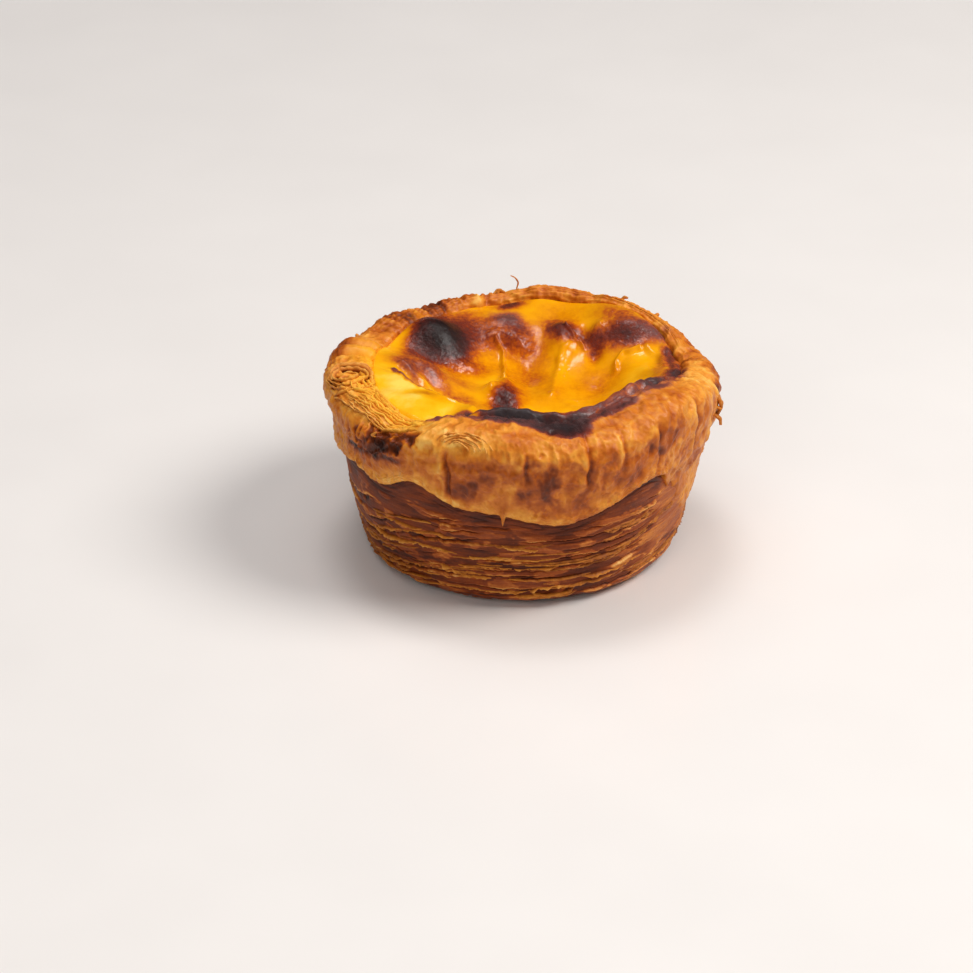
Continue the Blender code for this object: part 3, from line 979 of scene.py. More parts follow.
def make_layers(material):
    """The wall as an upper and a lower piece, which share one row of points and its normals."""
    angle = np.linspace(-180, 180, LAYER_COLUMNS, endpoint=False)[None, :]
    profile = layers_profile()
    height = np.broadcast_to(profile[:, 1:], (len(profile), LAYER_COLUMNS))
    share = smoothstep(0.5 * FOOT_HEIGHT, COLLAR_HEIGHT, height)
    radius = profile[:, :1] + waves(angle, WALL_WOBBLE) * share
    angle = np.broadcast_to(angle, radius.shape)
    base = cylinder_points(radius, angle, height)
    shift, tone = layers_relief(base, angle, height)
    rows = len(profile)
    row = np.arange(rows)[:, None]
    shown = smoothstep(rows - 7, rows - 15, row)
    points = base + grid_normals(base, True) * (shift * shown)[..., None]
    points[..., 2] = np.maximum(points[..., 2], 0.0)
    normals = grid_normals(points, True)
    pieces = []
    for first, last in ((0, LAYER_SPLIT + 1), (LAYER_SPLIT, rows)):
        count = last - first
        shell = points[first:last].reshape(-1, 3)
        ring = np.arange(LAYER_COLUMNS)
        caps = np.concatenate([
            cap_faces(ring, len(shell)),
            cap_faces(ring[::-1] + len(shell) - LAYER_COLUMNS, len(shell) + (last == rows)),
        ])
        faces = np.concatenate([grid_faces(count, LAYER_COLUMNS, True, False), caps])
        flat = strip_map(count, LAYER_COLUMNS, True, False, 4)
        flat = np.concatenate([flat, np.zeros((4 * len(caps), 2))])
        inner = [(0.0, 0.0, 14.0), (0.0, 0.0, 0.0)][: 1 + (last == rows)]
        fields = {"tone": np.concatenate([tone[first:last].ravel(), np.zeros(len(inner))])}
        ends = np.tile((0.0, 0.0, -1.0), (len(inner), 1))
        turned = np.concatenate([normals[first:last].reshape(-1, 3), ends])
        pieces.append((np.concatenate([shell, inner]), faces, flat, fields, material, turned))
    return pieces


# ---------------------------------------------------------------- sheets and flakes that stand proud
WALL_FLAKES = 260
# listed flake edges on the lower wall: (corners as (direction, height), how far it stands out, tone)
LONG_FLAKES = [
    ([(-153, 11.0), (-141, 10.4), (-133, 11.4), (-126, 12.2), (-118, 12.4), (-110, 11.4)], 0.7, 0.70),
    ([(-109, 11.6), (-103, 11.6), (-98, 12.4), (-92, 12.2)], 0.65, 0.74),
    ([(-148, 14.4), (-140, 15.2), (-131, 15.6), (-123, 15.6)], 0.55, 0.61),
    ([(-120, 9.0), (-113, 7.8), (-106, 7.2), (-99, 7.0)], 0.9, 0.70),
    ([(-78, 9.8), (-58, 11.0), (-48, 13.2), (-36, 15.6), (-28, 16.0)], 0.6, 0.48),
    ([(-66, 14.6), (-58, 15.0), (-50, 16.4), (-44, 18.2)], 0.4, 0.5),
    ([(-114, 4.6), (-105, 3.9), (-97, 3.8), (-91, 4.3)], 0.5, 0.70),
    ([(-88, 3.8), (-84, 5.0), (-78, 5.6), (-72, 4.6)], 0.7, 0.70),
    ([(-88, 3.6), (-82, 3.0), (-76, 3.0), (-71, 4.0)], 0.7, 0.65),
    ([(-98, 15.0), (-90, 14.6), (-84, 14.0)], 0.6, 0.74),
]


def on_wall(angle, height):
    """Point of the lower wall, just below its skin."""
    radius = lower_wall(height) - 1.6 * smoothstep(3.0, 0.5, height)
    return cylinder_points(radius + waves(angle, WALL_WOBBLE) - 0.2, angle, height)


def on_rim(angle, outward):
    """Point of the rim's nominal skin at a direction and a distance out from its crest."""
    rim, distance = rim_section(), rim_distance()
    radius = np.interp(outward, distance[:RIM_ROWS], rim[:, 0])
    height = np.interp(outward, distance[:RIM_ROWS], rim[:, 1])
    radius, height = shape_case(radius, angle, height)
    return cylinder_points(radius, angle, height)


def ribbon(surface, facing, angle, other, height, lean, root_width, tip_width, tones):
    """Thin sheet that stands on a surface along a path: its points, four to a section, and tones."""
    base = surface(angle, other)
    around = surface(angle + 0.1, other) - surface(angle - 0.1, other)
    down = surface(angle, other + 0.05) - surface(angle, other - 0.05)
    normal = np.cross(down, around)
    normal /= np.linalg.norm(normal, axis=-1, keepdims=True)
    normal *= facing
    tangent = np.gradient(base, axis=0)
    side = np.cross(tangent, normal)
    side /= np.maximum(np.linalg.norm(side, axis=-1, keepdims=True), 1e-9)
    root = base - 0.6 * normal
    tip = base + normal * height[:, None] + side * lean[:, None]
    corners = [
        root - side * root_width,
        tip - side * tip_width,
        tip + side * tip_width,
        root + side * root_width,
    ]
    # the root's dark tone is painted shade where the sheet meets the surface; the tip's tone carries a
    # painted highlight
    root_tone, tip_tone = tones
    tone = np.stack([root_tone + 0 * height, tip_tone, tip_tone, root_tone + 0 * height], axis=1)
    return np.stack(corners, axis=1), tone, np.zeros_like(tone)


def join_ribbons(ribbons, material):
    """All ribbons as one mesh, each with its own row of the flat map."""
    points, faces, flat, tones, soaks, start = [], [], [], [], [], 0
    for number, (corners, tone, soak) in enumerate(ribbons):
        count = len(corners)
        section = np.arange(count)[:, None] * 4 + np.arange(4)[None, :] + start
        here, there = section[:-1], section[1:]
        beside = np.roll(here, -1, axis=1), np.roll(there, -1, axis=1)
        sides = np.stack([here, beside[0], beside[1], there], axis=-1).reshape(-1, 4)
        ends = np.stack([section[0][::-1], section[-1]])
        step = np.arange(count - 1)[:, None] / count + 0 * np.arange(4)[None, :]
        lane = (number + 0.1 + 0.8 * np.arange(4)[None, :] / 4 + 0 * step) / len(ribbons)
        next_step, next_lane = step + 1 / count, lane + 0.2 / len(ribbons)
        places = [(step, lane), (step, next_lane), (next_step, next_lane), (next_step, lane)]
        flat.append(np.stack([np.stack(place, axis=-1) for place in places], axis=2).reshape(-1, 2))
        flat.append(np.full((8, 2), lane.ravel()[0]))
        faces += [sides, ends]
        points.append(corners.reshape(-1, 3))
        tones.append(tone.ravel())
        soaks.append(soak.ravel())
        start += 4 * count
    fields = {"tone": np.concatenate(tones), "soak": np.concatenate(soaks)}
    return np.concatenate(points), np.concatenate(faces), np.concatenate(flat), fields, material


def wall_flakes():
    """Ragged sheet edges on the lower wall: some listed one by one, most scattered along the layers."""
    random = np.random.default_rng(5)
    ribbons = []
    for corners, out, tone in LONG_FLAKES:
        angle, height = walk(corners, int(abs(corners[-1][0] - corners[0][0]) * 2.2) + 8).T
        ribbons.append(flake(angle, height, out, 0.5 * out, tone, random))
    for _ in range(WALL_FLAKES):
        middle = random.uniform(-180, 180)
        level = random.uniform(2.2, 19.5)
        span = random.uniform(3, 20)
        out = random.uniform(0.18, 0.55)
        up = out * random.choice([-0.6, 0.8, 0.4])
        tone = random.uniform(0.35, 0.72)
        angle = np.linspace(middle - span, middle + span, int(span * 4.4) + 6)
        height = np.full_like(angle, level)
        wrapped = turn_from(angle, 0.0)
        for _ in range(3):
            x, y, z = on_wall(wrapped, height).T
            height = height + 0.7 * (level - layer_level(x, y, z, wrapped))
        too_high = height.max() > collar_edge(wrapped).min() - 5.0
        if too_high or height.min() < 1.2 or cling_share(wrapped).max() * height.max() > 8:
            continue
        ribbons.append(flake(angle, height, out, up, tone, random))
    return ribbons


def flake(angle, height, out, up, tone, random):
    """One ragged sheet edge on the wall, which stands out and leans up, or down, by some mm."""
    count = len(angle)
    seed = int(random.integers(1000))
    place = np.radians(angle) * WAIST_RADIUS
    ragged = 0.7 + 0.55 * noise(place / 1.4, 0.3, 0.7, seed)
    ragged = ragged + 0.35 * noise(place / 0.5, 0.9, 0.2, seed + 1)
    part = np.linspace(0, 1, count)
    taper = window(part, 0, 0.16, 0.84, 1)
    height = height + 0.25 * noise(place / 3.0, 0.1, 0.4, seed + 2)
    reach = np.clip(ragged, 0.15, 1.4) * taper
    # the flake's own tone, lightened where it stands out furthest with a painted highlight
    tips = tone * (0.7 + 0.34 * ragged * taper)
    stand = out * reach - 0.25 * (1 - taper)
    return ribbon(on_wall, -1, angle, height, stand, up * reach, 0.3, 0.08, (0.2, tips))


def rim_sheets():
    """Sheets of the rolled end, of the layers along the left of the rim, and of the front fan."""
    random = np.random.default_rng(9)
    ribbons = []
    centre_angle, radius, centre_out = SWIRL_AT
    per_degree = np.radians(1.0) * radius

    def stand(along, across, tall, tone):
        """Adds one sheet along a path given in mm from the swirl's centre."""
        seed = int(random.integers(1000))
        length = np.concatenate([[0.0], np.cumsum(np.hypot(np.diff(along), np.diff(across)))])
        across = across + 0.5 * noise(along / 3.0, across / 3.0, 0.2, 91)
        across = across + 0.16 * noise(length / 0.9, 0.5, 0.1, seed)
        ragged = 0.8 + 0.4 * noise(length / 1.6, 0.2, 0.6, seed + 1)
        ragged = ragged + 0.3 * noise(length / 0.5, 0.7, 0.9, seed + 2)
        part = length / length[-1]
        taper = window(part, 0, 0.12, 0.88, 1)
        lean = 0.35 * noise(length / 4.0, 0.3, 0.3, seed + 3)
        angle = centre_angle + along / per_degree
        # the sheet's own tone, lightened where it stands tallest with a painted highlight
        tips = tone * (0.68 + 0.44 * ragged)
        other = np.clip(centre_out + across, -4.0, 8.5)
        height = tall * ragged * taper - 0.35
        corners, tone, soak = ribbon(on_rim, 1, angle, other, height, lean, 0.24, 0.1, (0.3, tips))
        wet = smoothstep(3.4, -0.6, other) * smoothstep(-3, 5, along) * smoothstep(34, 28, along)
        soak += wet[:, None]
        ribbons.append((corners, tone, soak))

    # the spiral, and four curls around it
    turn = np.linspace(0.15, 2.9, 260)
    reach = 0.35 + 1.15 * turn
    stand(1.25 * reach * np.cos(2 * np.pi * turn), 0.9 * reach * np.sin(2 * np.pi * turn), 1.0, 0.7)
    for start in np.linspace(0.0, 1.0, 4, endpoint=False):
        turn = np.linspace(start, start + 0.42, 50)
        reach = 3.7 + 1.2 * start
        stand(1.2 * reach * np.cos(2 * np.pi * turn), 0.9 * reach * np.sin(2 * np.pi * turn), 0.8, 0.66)
    # wavy sheets beside the swirl, then long ones along the left of the rim
    for number in range(9):
        along = np.linspace(0.5 + random.uniform(-2, 2), 8 + random.uniform(-1, 2), 46)
        across = -1.2 - 0.62 * number + 1.1 * np.sin(along / 2.6 + 0.25 * number)
        stand(along, across, random.uniform(0.5, 0.8), 0.72)
    for number in range(13):
        first = random.uniform(2.5, 10)
        last = random.uniform(22, 29)
        along = np.linspace(first, last, int(4 * (last - first)))
        narrowing = smoothstep(0, 30, along)
        across = -3.9 + 0.62 * number * (1 - 0.5 * narrowing) + 0.4 * narrowing
        stand(along, across, random.uniform(0.5, 0.85), random.uniform(0.62, 0.82))
    # the small fan at the front
    fan_along = (FAN_AT[0] - centre_angle) * per_degree
    for number in range(5):
        part = 0.3 + 0.18 * number
        turn = np.linspace(-0.1, 1.05, 40) * np.pi
        along = fan_along + 5.0 * part * np.cos(turn) + 0.8 * part
        across = FAN_AT[1] - centre_out - 2.9 * part * np.sin(turn) + 0.5 * np.cos(turn)
        stand(along, across, 0.85, 0.72)
    return ribbons + [strand(*place) for place in STRANDS]


STRAND_TONE = 0.62
# loose strands and crumbs on the rim: (corners in mm, half width, half thickness)
STRANDS = [
    (
        [
            (-0.4, 34.6, 34.4),
            (-0.7, 35.3, 35.8),
            (-0.3, 35.6, 37.2),
            (-1.0, 35.5, 38.3),
            (-1.9, 35.3, 38.8),
        ],
        0.16,
        0.1,
    ),
    ([(-5.6, 34.2, 34.6), (-4.4, 34.8, 35.8), (-3.0, 34.6, 35.4)], 0.5, 0.14),
    ([(-4.6, 34.0, 34.8), (-4.2, 34.6, 36.2)], 0.3, 0.12),
    ([(19.6, 28.6, 35.6), (20.6, 29.0, 37.0), (21.4, 28.6, 37.0)], 0.4, 0.14),
    ([(26.0, 23.6, 34.8), (27.4, 24.0, 35.8)], 0.45, 0.14),
    ([(36.2, -5.0, 33.0), (37.9, -5.2, 31.8), (38.3, -5.6, 30.2), (37.6, -5.6, 28.6)], 0.6, 0.3),
    ([(36.8, -4.0, 31.2), (38.5, -4.4, 30.6), (38.3, -4.8, 29.4)], 0.5, 0.3),
    ([(36.4, -6.4, 29.4), (38.1, -6.8, 28.2), (38.2, -6.6, 26.8)], 0.5, 0.25),
    ([(37.0, -6.0, 30.6), (38.4, -6.4, 30.0)], 0.7, 0.2),
    ([(-31.0, 17.2, 33.0), (-32.4, 18.0, 34.2)], 0.5, 0.14),
    ([(-26.6, -24.6, 33.2), (-28.2, -25.8, 34.4), (-27.2, -26.4, 35.4)], 0.3, 0.14),
]


def strand(corners, half_width, half_thickness):
    """Flat curved strip through some corners, rounded off and narrowed towards both ends."""
    path = walk(corners, 12 * len(corners))
    for _ in range(12):
        path[1:-1] = 0.5 * path[1:-1] + 0.25 * (path[2:] + path[:-2])
    tangent = np.gradient(path, axis=0)
    tangent /= np.linalg.norm(tangent, axis=1, keepdims=True)
    side = np.cross(tangent, path * (1.0, 1.0, 0.0))
    side /= np.linalg.norm(side, axis=1, keepdims=True)
    thick = np.cross(side, tangent) * half_thickness
    share = np.linspace(0, 1, len(path))
    ragged = 0.85 + 0.3 * noise(share * 6, half_width, corners[0][0], 66)
    side = side * (half_width * ragged * (0.25 + 0.75 * np.sin(np.pi * share) ** 0.5))[:, None]
    corners = [path - side - thick, path - side + thick, path + side + thick, path + side - thick]
    corners = np.stack(corners, axis=1)
    return corners, np.full(corners.shape[:2], STRAND_TONE), np.zeros(corners.shape[:2])


def flake_material():
    """Dry edge of a dough sheet: 'tone' runs from its dark root, painted shade where the sheet meets the
    surface, to its golden tip, lightened with a painted highlight where it stands out; 'soak' is custard.
    """
    n = Nodes("crust_flake")
    mottle = n.noise(1.6, 4.0, 0.6)
    tone = n.add(n.field("tone"), n.vary(mottle, -0.14, 0.14))
    color = n.ramp(tone, [
        (0.0, (84, 38, 18)),
        (0.3, (134, 68, 26)),
        (0.6, (204, 124, 44)),
        (0.85, (236, 168, 78)),
        (1.0, (248, 200, 124)),
    ])
    soaked = n.ramp(tone, [(0.3, (198, 108, 20)), (0.8, (250, 188, 54))])
    color = n.mix(n.times(n.field("soak"), 0.85), color, soaked)
    normal = n.bump(n.noise(0.5, 4.0, 0.6), 0.3, 0.12)
    roughness = n.vary(mottle, 0.45, 0.6)
    return n.finish(color, roughness, normal, Specular_IOR_Level=0.22)


# ---------------------------------------------------------------- the custard
CUSTARD_CELLS = 290
SHELF_HEIGHT = 35.7
CUSTARD_TUCK = 1.2              # how far the custard reaches in under the rim


def custard_surface(x, y):
    """Height of the custard's skin with its shelf, domes, ridges and wrinkles."""
    height = custard_height(x, y)
    angle = np.degrees(np.arctan2(y, x))
    fold, side = path_distance(x, y, SHELF_FOLD)
    outside = smoothstep(-1.6, 1.3, fold * side) * smoothstep(-108, -120, angle)
    outside = outside * smoothstep(-181, -174, angle)
    shelf = SHELF_HEIGHT + 0.5 * noise(x / 6, y / 6, 0.0, 60)
    height = height + outside * (shelf - height)
    for centre_x, centre_y, length, width, turn, amount in CUSTARD_LUMPS:
        height = height + amount * np.exp(-turned_oval(x, y, centre_x, centre_y, length, width, turn) ** 2)
    for path, width, amount in CUSTARD_RIDGES:
        wander = 0.35 * noise(x / 2.2, y / 2.2, 0.0, 61)
        distance, _ = path_distance(x + wander, y + wander, path)
        height = height + amount * bell(distance, 0, width)
    return height + 0.25 * noise(x / 5, y / 5, 0.0, 75)


def skin_marks(x, y):
    """How burnt the skin is, 0 to 1, and how grey, partly with ash and partly with a painted sheen, from
    the burnt spots and strokes.
    """
    wobble = 0.5 * layered_noise(x / 3, y / 3, 0.0, 71, 3)
    kept, fair = np.ones(np.shape(x)), np.ones(np.shape(x))
    for centre_x, centre_y, length, width, turn, strength, ash in BURNS_AND_HIGHLIGHT:
        oval = turned_oval(x + wobble, y + wobble, centre_x, centre_y, length, width, turn)
        spot = np.exp(-(oval**2.4))
        kept = kept * (1 - strength * spot)
        fair = fair * (1 - ash * spot)
    for path, width, strength, ash in BURNT_STROKES:
        distance, _ = path_distance(x, y, path)
        stroke = smoothstep(1.4 * width, 0.35 * width, distance + 1.1 * wobble)
        stroke = stroke * np.clip(0.85 + 0.9 * wobble, 0, 1)
        kept = kept * (1 - np.clip(strength * stroke, 0, 1))
        fair = fair * (1 - np.clip(ash * stroke, 0, 1))
    return 1 - kept, 1 - fair


def skin_folds(x, y):
    """Folds of the burnt skin along the front lip, in mm."""
    folds = 0.0
    for path, width, *_ in BURNT_STROKES:
        distance, side = path_distance(x, y, path)
        near = smoothstep(1.9 * width, 0.4 * width, distance)
        ripples = np.cos(2 * np.pi * (distance * side + 1.1 * noise(x / 4, y / 4, 0.0, 62)) / 2.3)
        fold = 0.35 + 0.12 * ripples + 0.45 * noise(x / 2.4, y / 2.4, 0.0, 63)
        folds = np.maximum(folds, near * fold)
    return folds


# inner edge of the high shelf at the left front, where the skin folds down into the basin
SHELF_FOLD = [
    (-24.5, 6.0),
    (-23.3, -1.0),
    (-20.0, -6.2),
    (-15.0, -10.8),
    (-9.8, -14.2),
    (-5.5, -18.0),
    (-3.0, -22.0),
]
# (x, y, half length, half width, turn in degrees, height)
CUSTARD_LUMPS = [
    (-15.0, 15.5, 5.0, 4.2, -25, 0.8),
    (-17.5, 5.5, 5.5, 3.0, -25, 1.9),
    (-10.5, 11.5, 3.0, 1.6, 20, 0.7),
    (-14.2, 7.5, 1.2, 2.6, 20, 0.5),
    (-2.0, 21.3, 4.2, 2.0, -5, 1.1),
    (-5.6, 20.8, 1.6, 1.2, 30, 0.6),
    (-0.4, 19.9, 2.0, 1.3, -30, 0.7),
    (-2.6, 24.8, 2.8, 1.4, 0, 0.7),
    (-6.2, 5.0, 1.5, 2.0, 0, 0.8),
    (-2.6, 6.6, 1.3, 2.2, 0, 0.8),
    (-3.0, -1.0, 3.0, 3.0, 0, -1.0),
    (12.3, 19.9, 1.9, 2.2, -30, -1.3),
    (14.6, 15.5, 1.4, 2.4, 0, -0.9),
    (14.9, 20.2, 1.3, 2.0, -35, 0.8),
    (20.5, 19.0, 5.0, 2.0, -10, 0.9),
    (7.5, 22.5, 2.8, 1.6, -10, 0.7),
    (13.5, 6.0, 4.5, 6.0, 0, -0.2),
    (12.2, 10.0, 3.4, 4.5, 0, 0.9),
    (8.2, 17.6, 2.6, 5.0, 0, 1.2),
    (22.5, 8.0, 4.0, 5.0, 0, 0.7),
    (26.0, 3.0, 2.2, 4.5, 20, 1.0),
    (1.5, 10.0, 2.4, 6.0, 5, -1.2),
    (5.5, 28.5, 6.0, 3.2, 0, -0.6),
    (-20.0, -13.5, 4.0, 2.6, -40, 0.5),
    (-15.5, -19.0, 3.6, 3.0, -30, -0.8),
]
# where the skin is covered in small bumps: (x, y, half length, half width, turn)
SPECKLED_SPOTS = [
    (-2.0, 20.3, 4.6, 1.8, -8),
    (-14.6, 7.2, 2.6, 3.4, 20),
    (-10.4, 12.2, 3.6, 2.0, 20),
    (-3.6, 2.4, 3.0, 4.2, 0),
    (-15.0, -1.5, 6.5, 1.0, -28),
    (7.9, 13.0, 1.5, 5.0, 5),
    (11.6, 19.0, 3.0, 2.0, -40),
    (16.5, 19.5, 2.4, 1.6, -30),
]
# (corners, half width, height)
CUSTARD_RIDGES = [
    ([(-4.8, 20.2), (-3.5, 17.7), (-3.2, 13.7), (-3.1, 9.5)], 0.45, 0.9),
    ([(-3.1, 9.5), (-3.2, 6.5), (-5.5, 5.0)], 0.9, 0.5),
    ([(9.0, 22.0), (10.7, 19.6), (12.4, 17.2)], 0.4, 0.7),
    ([(11.2, 18.2), (8.5, 16.6), (7.6, 13.0), (6.8, 9.0), (6.2, 4.0)], 1.0, 0.6),
    ([(18.3, 9.6), (18.8, 12.0), (20.0, 13.4), (23.0, 13.2)], 0.5, 0.8),
    ([(24.8, 13.6), (27.5, 10.0), (28.0, 5.0)], 0.8, 0.6),
    ([(-22.8, 3.8), (-19.0, 0.4), (-14.0, -3.2), (-10.0, -5.5)], 1.0, 1.2),
]
# (x, y, half length, half width, turn in degrees, burning, ash with a painted sheen); a negative burning
# paints a pale highlight
BURNS_AND_HIGHLIGHT = [
    (-16.0, 16.0, 5.9, 4.3, -50, 0.86, 0.0),
    (-14.6, 18.0, 3.6, 3.0, -30, 0.6, 0.0),
    (-15.9, 22.0, 8.1, 3.6, -37, 0.47, 0.0),
    (-18.2, 11.0, 3.0, 3.0, -16, 0.43, 0.08),
    (-21.3, 13.1, 2.0, 7.1, -18, 0.33, 0.1),
    (-10.8, 23.0, 5.6, 4.9, -60, 0.35, 0.1),
    (-3.2, 19.1, 8.5, 2.6, -23, 0.2, 0.0),
    (-11.7, 16.6, 2.6, 3.4, -9, 0.46, 0.1),
    (-17.9, 5.4, 8.4, 2.6, 3, 0.3, 0.1),
    (-15.0, 1.8, 7.0, 2.0, -28, 0.28, 0.1),
    (-21.4, 2.2, 3.4, 1.3, -55, 0.34, 0.4),
    (-9.0, 12.0, 4.0, 2.4, 15, 0.2, 0.0),
    (-2.4, 26.0, 3.0, 1.9, -20, 0.45, 0.7),
    (-2.1, 23.6, 5.2, 2.3, -13, 0.4, 0.15),
    (-0.4, 20.3, 6.3, 2.2, -10, 0.24, 0.0),
    (-3.0, 1.0, 2.9, 4.8, -10, 0.5, 0.0),
    (-3.6, 0.0, 2.2, 2.4, 0, 0.34, 0.0),
    (7.2, 22.0, 3.6, 2.0, -50, 0.5, 0.15),
    (11.3, 20.6, 4.1, 2.2, -50, 0.34, 0.0),
    (14.8, 16.7, 1.5, 2.5, 10, 0.28, 0.0),
    (18.7, 17.3, 6.4, 2.3, -18, 0.5, 0.2),
    (27.0, 17.6, 4.4, 2.1, -20, 0.42, 0.6),
    (20.9, 20.5, 6.9, 3.3, -46, 0.32, 0.1),
    (27.4, 6.0, 1.8, 8.0, -11, 0.24, 0.1),
    (-2.0, 30.8, 3.0, 1.5, 10, 0.6, 0.1),
    (3.0, 11.3, 3.4, 9.5, -3, 0.15, 0.0),
    (6.0, 4.0, 14.0, 12.0, 0, 0.06, 0.0),
    (14.6, 8.0, 5.6, 6.5, 7, 0.13, 0.0),
    (-2.0, 13.0, 4.1, 4.0, -40, 0.14, 0.0),
    # painted highlight: a pale streak along the left edge of the shelf, drawn as negative burning
    (-22.0, -9.0, 9.0, 4.5, -62, -0.12, 0.0),
    (-18.6, -11.0, 2.8, 1.6, -30, 0.24, 0.0),
    (6.0, 27.5, 12.0, 4.5, -8, 0.09, 0.0),
    (7.6, -30.2, 5.6, 4.4, -10, 1.0, 0.25),
]
# (corners, half width, burning, ash with a painted grey sheen)
BURNT_STROKES = [
    ([(-24.4, 0.6), (-22.8, -2.8), (-19.2, -7.4)], 0.9, 0.62, 0.5),
    ([(-19.2, -7.4), (-14.8, -11.2), (-9.8, -14.6)], 0.7, 0.36, 0.2),
    ([(-11.0, -20.4), (-8.0, -22.4), (-4.0, -24.8), (2.0, -26.6)], 1.8, 0.7, 0.65),
    ([(-17.0, -25.0), (-10.5, -26.8), (-4.3, -28.6), (3.0, -30.4)], 1.7, 0.62, 0.5),
    ([(-5.0, -26.4), (3.0, -28.2), (8.0, -28.6), (10.0, -27.6)], 3.6, 0.78, 0.45),
    ([(13.0, -24.4), (17.0, -22.2), (21.0, -18.6), (25.0, -14.2)], 4.0, 0.52, 0.55),
    ([(15.0, -25.4), (20.0, -22.0)], 1.8, 0.5, 0.0),
    ([(25.0, -13.6), (28.2, -8.4), (30.0, -2.0)], 3.2, 0.52, 0.3),
    ([(29.8, -2.0), (29.8, 5.0), (28.9, 12.6)], 1.7, 0.46, 0.2),
]


def disc_grid(cells):
    """Points of a unit disc, as a square grid bent so that it stays even."""
    a, b = np.meshgrid(np.linspace(-1, 1, cells + 1), np.linspace(-1, 1, cells + 1), indexing="ij")
    return a * np.sqrt(1 - b**2 / 2), b * np.sqrt(1 - a**2 / 2)


def border_of(count):
    """Indices around the border of a square grid of points, counterclockwise seen from +Z."""
    index = np.arange(count * count).reshape(count, count)
    return np.concatenate([index[:-1, 0], index[-1, :-1], index[:0:-1, -1], index[0, :0:-1]])


def cap_faces(ring, centre):
    """Quads that close a ring of an even number of points at a centre point."""
    centres = np.full(len(ring) // 2, centre)
    return np.stack([centres, ring[0::2], ring[1::2], np.roll(ring, -2)[0::2]], axis=1)


def make_custard(material):
    """The custard's skin, closed by a short side wall and a shallow cone under it."""
    count = CUSTARD_CELLS + 1
    x, y = disc_grid(CUSTARD_CELLS)
    part = np.hypot(x, y)
    angle = np.degrees(np.arctan2(y, x))
    edge = LIP_RADIUS + around(angle, LIP_SHIFTS) + CUSTARD_TUCK
    x, y = x * edge, y * edge
    burn, ash = skin_marks(x, y)
    sink = smoothstep(0.93, 1.0, part)
    wrinkles = 0.07 * noise(x / 1.4, y / 2.2, 0.0, 76) + 0.05 * noise(x / 0.7, y / 0.7, 0.0, 77)
    speckled = 0.2 + 0.5 * smoothstep(0.3, 0.7, burn)
    for spot in SPECKLED_SPOTS:
        speckled += 3.0 * np.exp(-turned_oval(x, y, *spot) ** 4)
    height = custard_surface(x, y) + skin_folds(x, y) + wrinkles * speckled - 1.5 * sink
    deep = 0.115 + 0.07 * noise(x / 6, y / 6, 0.0, 74)
    top = np.stack([x, y, height], axis=-1).reshape(-1, 3)
    ring = border_of(count)
    side = top[ring] * (0.96, 0.96, 0.0) + (0.0, 0.0, 1.0) * (top[ring][:, 2:] - 4.0)
    points = np.concatenate([top, side, [(0.0, 0.0, 16.0)]])
    lower = np.arange(len(top), len(top) + len(ring))
    wall = np.stack([ring, lower, np.roll(lower, -1), np.roll(ring, -1)], axis=1)
    cap = cap_faces(lower[::-1], len(points) - 1)
    faces = np.concatenate([grid_faces(count, count, False, False), wall, cap])
    flat = points[:, :2] / 70 + 0.5
    fields = {}
    for name, values in (("burn", burn + deep), ("ash", ash)):
        fields[name] = np.concatenate([values.ravel(), values.ravel()[ring], [0.0]])
    return points, faces, flat[faces].reshape(-1, 2), fields, material


# ---------------------------------------------------------------- stage, light and camera
CAMERA_DISTANCE = 0.75
CAMERA_PITCH = 28.1
CAMERA_LENS = 142.07
CAMERA_AIM = (-0.00693, 0.0, 0.0099)
LIGHT_AIM = (0, 0, 0.02)
FLOOR_HALF = 3.0


def make_stage():
    mesh = bpy.data.meshes.new("floor")
    signs = ((-1, -1), (1, -1), (1, 1), (-1, 1))
    mesh.from_pydata([(a * FLOOR_HALF, b * FLOOR_HALF, 0) for a, b in signs], [], [(0, 1, 2, 3)])
    n = Nodes("pale_floor")
    cloud = n.noise(40.0, 2.0)
    color = n.ramp(cloud, [(0.3, (234, 230, 226)), (0.7, (237, 233, 229))])
    n.link(color, n.shader.inputs["Base Color"])
    n.shader.inputs["Roughness"].default_value = 0.28
    n.shader.inputs["Specular IOR Level"].default_value = 0.4
    mesh.materials.append(n.material)
    floor = bpy.data.objects.new("floor", mesh)
    bpy.context.scene.collection.objects.link(floor)


def make_area_light(name, place, size, power, color):
    """Round area light that faces the tart."""
    light = bpy.data.lights.new(name, "AREA")
    light.shape = "DISK"
    light.size = size
    light.energy = power
    light.color = color
    lamp = bpy.data.objects.new(name, light)
    lamp.location = place
    direction = np.array(LIGHT_AIM) - np.array(place)
    yaw = np.arctan2(direction[0], -direction[1])
    drop = np.arccos(-direction[2] / np.linalg.norm(direction))
    lamp.rotation_euler = (drop, 0.0, yaw + np.pi)
    bpy.context.scene.collection.objects.link(lamp)
    return lamp


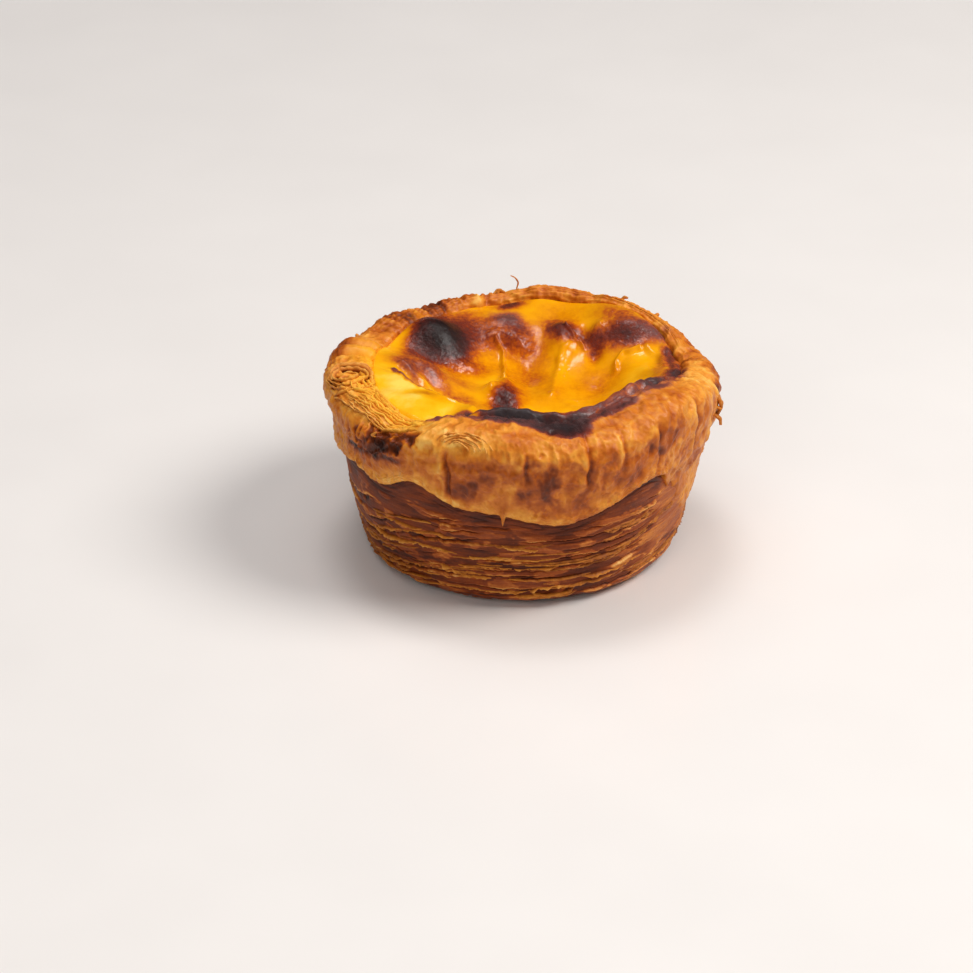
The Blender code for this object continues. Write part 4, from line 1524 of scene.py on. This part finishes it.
def make_light():
    make_area_light("key", (0.62, -0.10, 0.72), 0.5, 7.0, (1.0, 0.975, 0.95))
    make_area_light("overhead", (-0.08, 0.20, 0.95), 0.3, 2.2, (1.0, 0.95, 0.94))
    ambient = make_area_light("ambient", (-0.2, 0.2, 1.2), 1.4, 5.4, (0.98, 0.98, 1.0))
    front = make_area_light("front", (-0.25, -0.95, 0.65), 0.9, 4.2, (1.0, 0.98, 0.96))
    ambient.visible_glossy = front.visible_glossy = False
    world = bpy.data.worlds.new("studio")
    world.use_nodes = True
    background = world.node_tree.nodes["Background"]
    background.inputs["Color"].default_value = (0.96, 0.96, 1.0, 1.0)
    background.inputs["Strength"].default_value = 0.03
    bpy.context.scene.world = world
    bpy.context.scene.view_settings.view_transform = "Standard"


def make_camera():
    data = bpy.data.cameras.new("camera")
    data.lens = CAMERA_LENS
    data.sensor_width = 36.0
    camera = bpy.data.objects.new("camera", data)
    pitch = np.radians(CAMERA_PITCH)
    camera.location = (
        CAMERA_AIM[0],
        CAMERA_AIM[1] - CAMERA_DISTANCE * np.cos(pitch),
        CAMERA_AIM[2] + CAMERA_DISTANCE * np.sin(pitch),
    )
    camera.rotation_euler = (np.pi / 2 - pitch, 0.0, 0.0)
    bpy.context.scene.collection.objects.link(camera)
    bpy.context.scene.camera = camera


def show(name, shift, parts, node):
    """Makes a piece that stands for a node of the CAD."""
    piece = build_mesh(name, shift, *parts)
    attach(piece, "root")
    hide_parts(node)


def main():
    make_camera()
    make_light()
    make_stage()
    skin, layers = crust_material(), layers_material()
    flakes, custard = flake_material(), custard_material()
    crust = {name: make_collar(*span, skin) for name, *span in COLLAR_PARTS}
    # the collar is the widest part: its middle is put over the middle of the CAD
    points = np.concatenate([parts[0].reshape(-1, 3) for parts in crust.values()])
    middle = (points.min(axis=0) + points.max(axis=0)) / 2
    cad_middle = (np.array(cad_low) + np.array(cad_high)) / 2 / MM
    shift = np.array([cad_middle[0] - middle[0], cad_middle[1] - middle[1], 0.0])
    crust["crust_layers_upper"], crust["crust_layers_lower"] = make_layers(layers)
    crust["crust_wall_flakes"] = join_ribbons(wall_flakes(), flakes)
    crust["crust_rim_sheets"] = join_ribbons(rim_sheets(), flakes)
    for name, parts in crust.items():
        show(name, shift, parts, "pastry_case")
    show("custard_top", shift, make_custard(custard), "custard")


main()
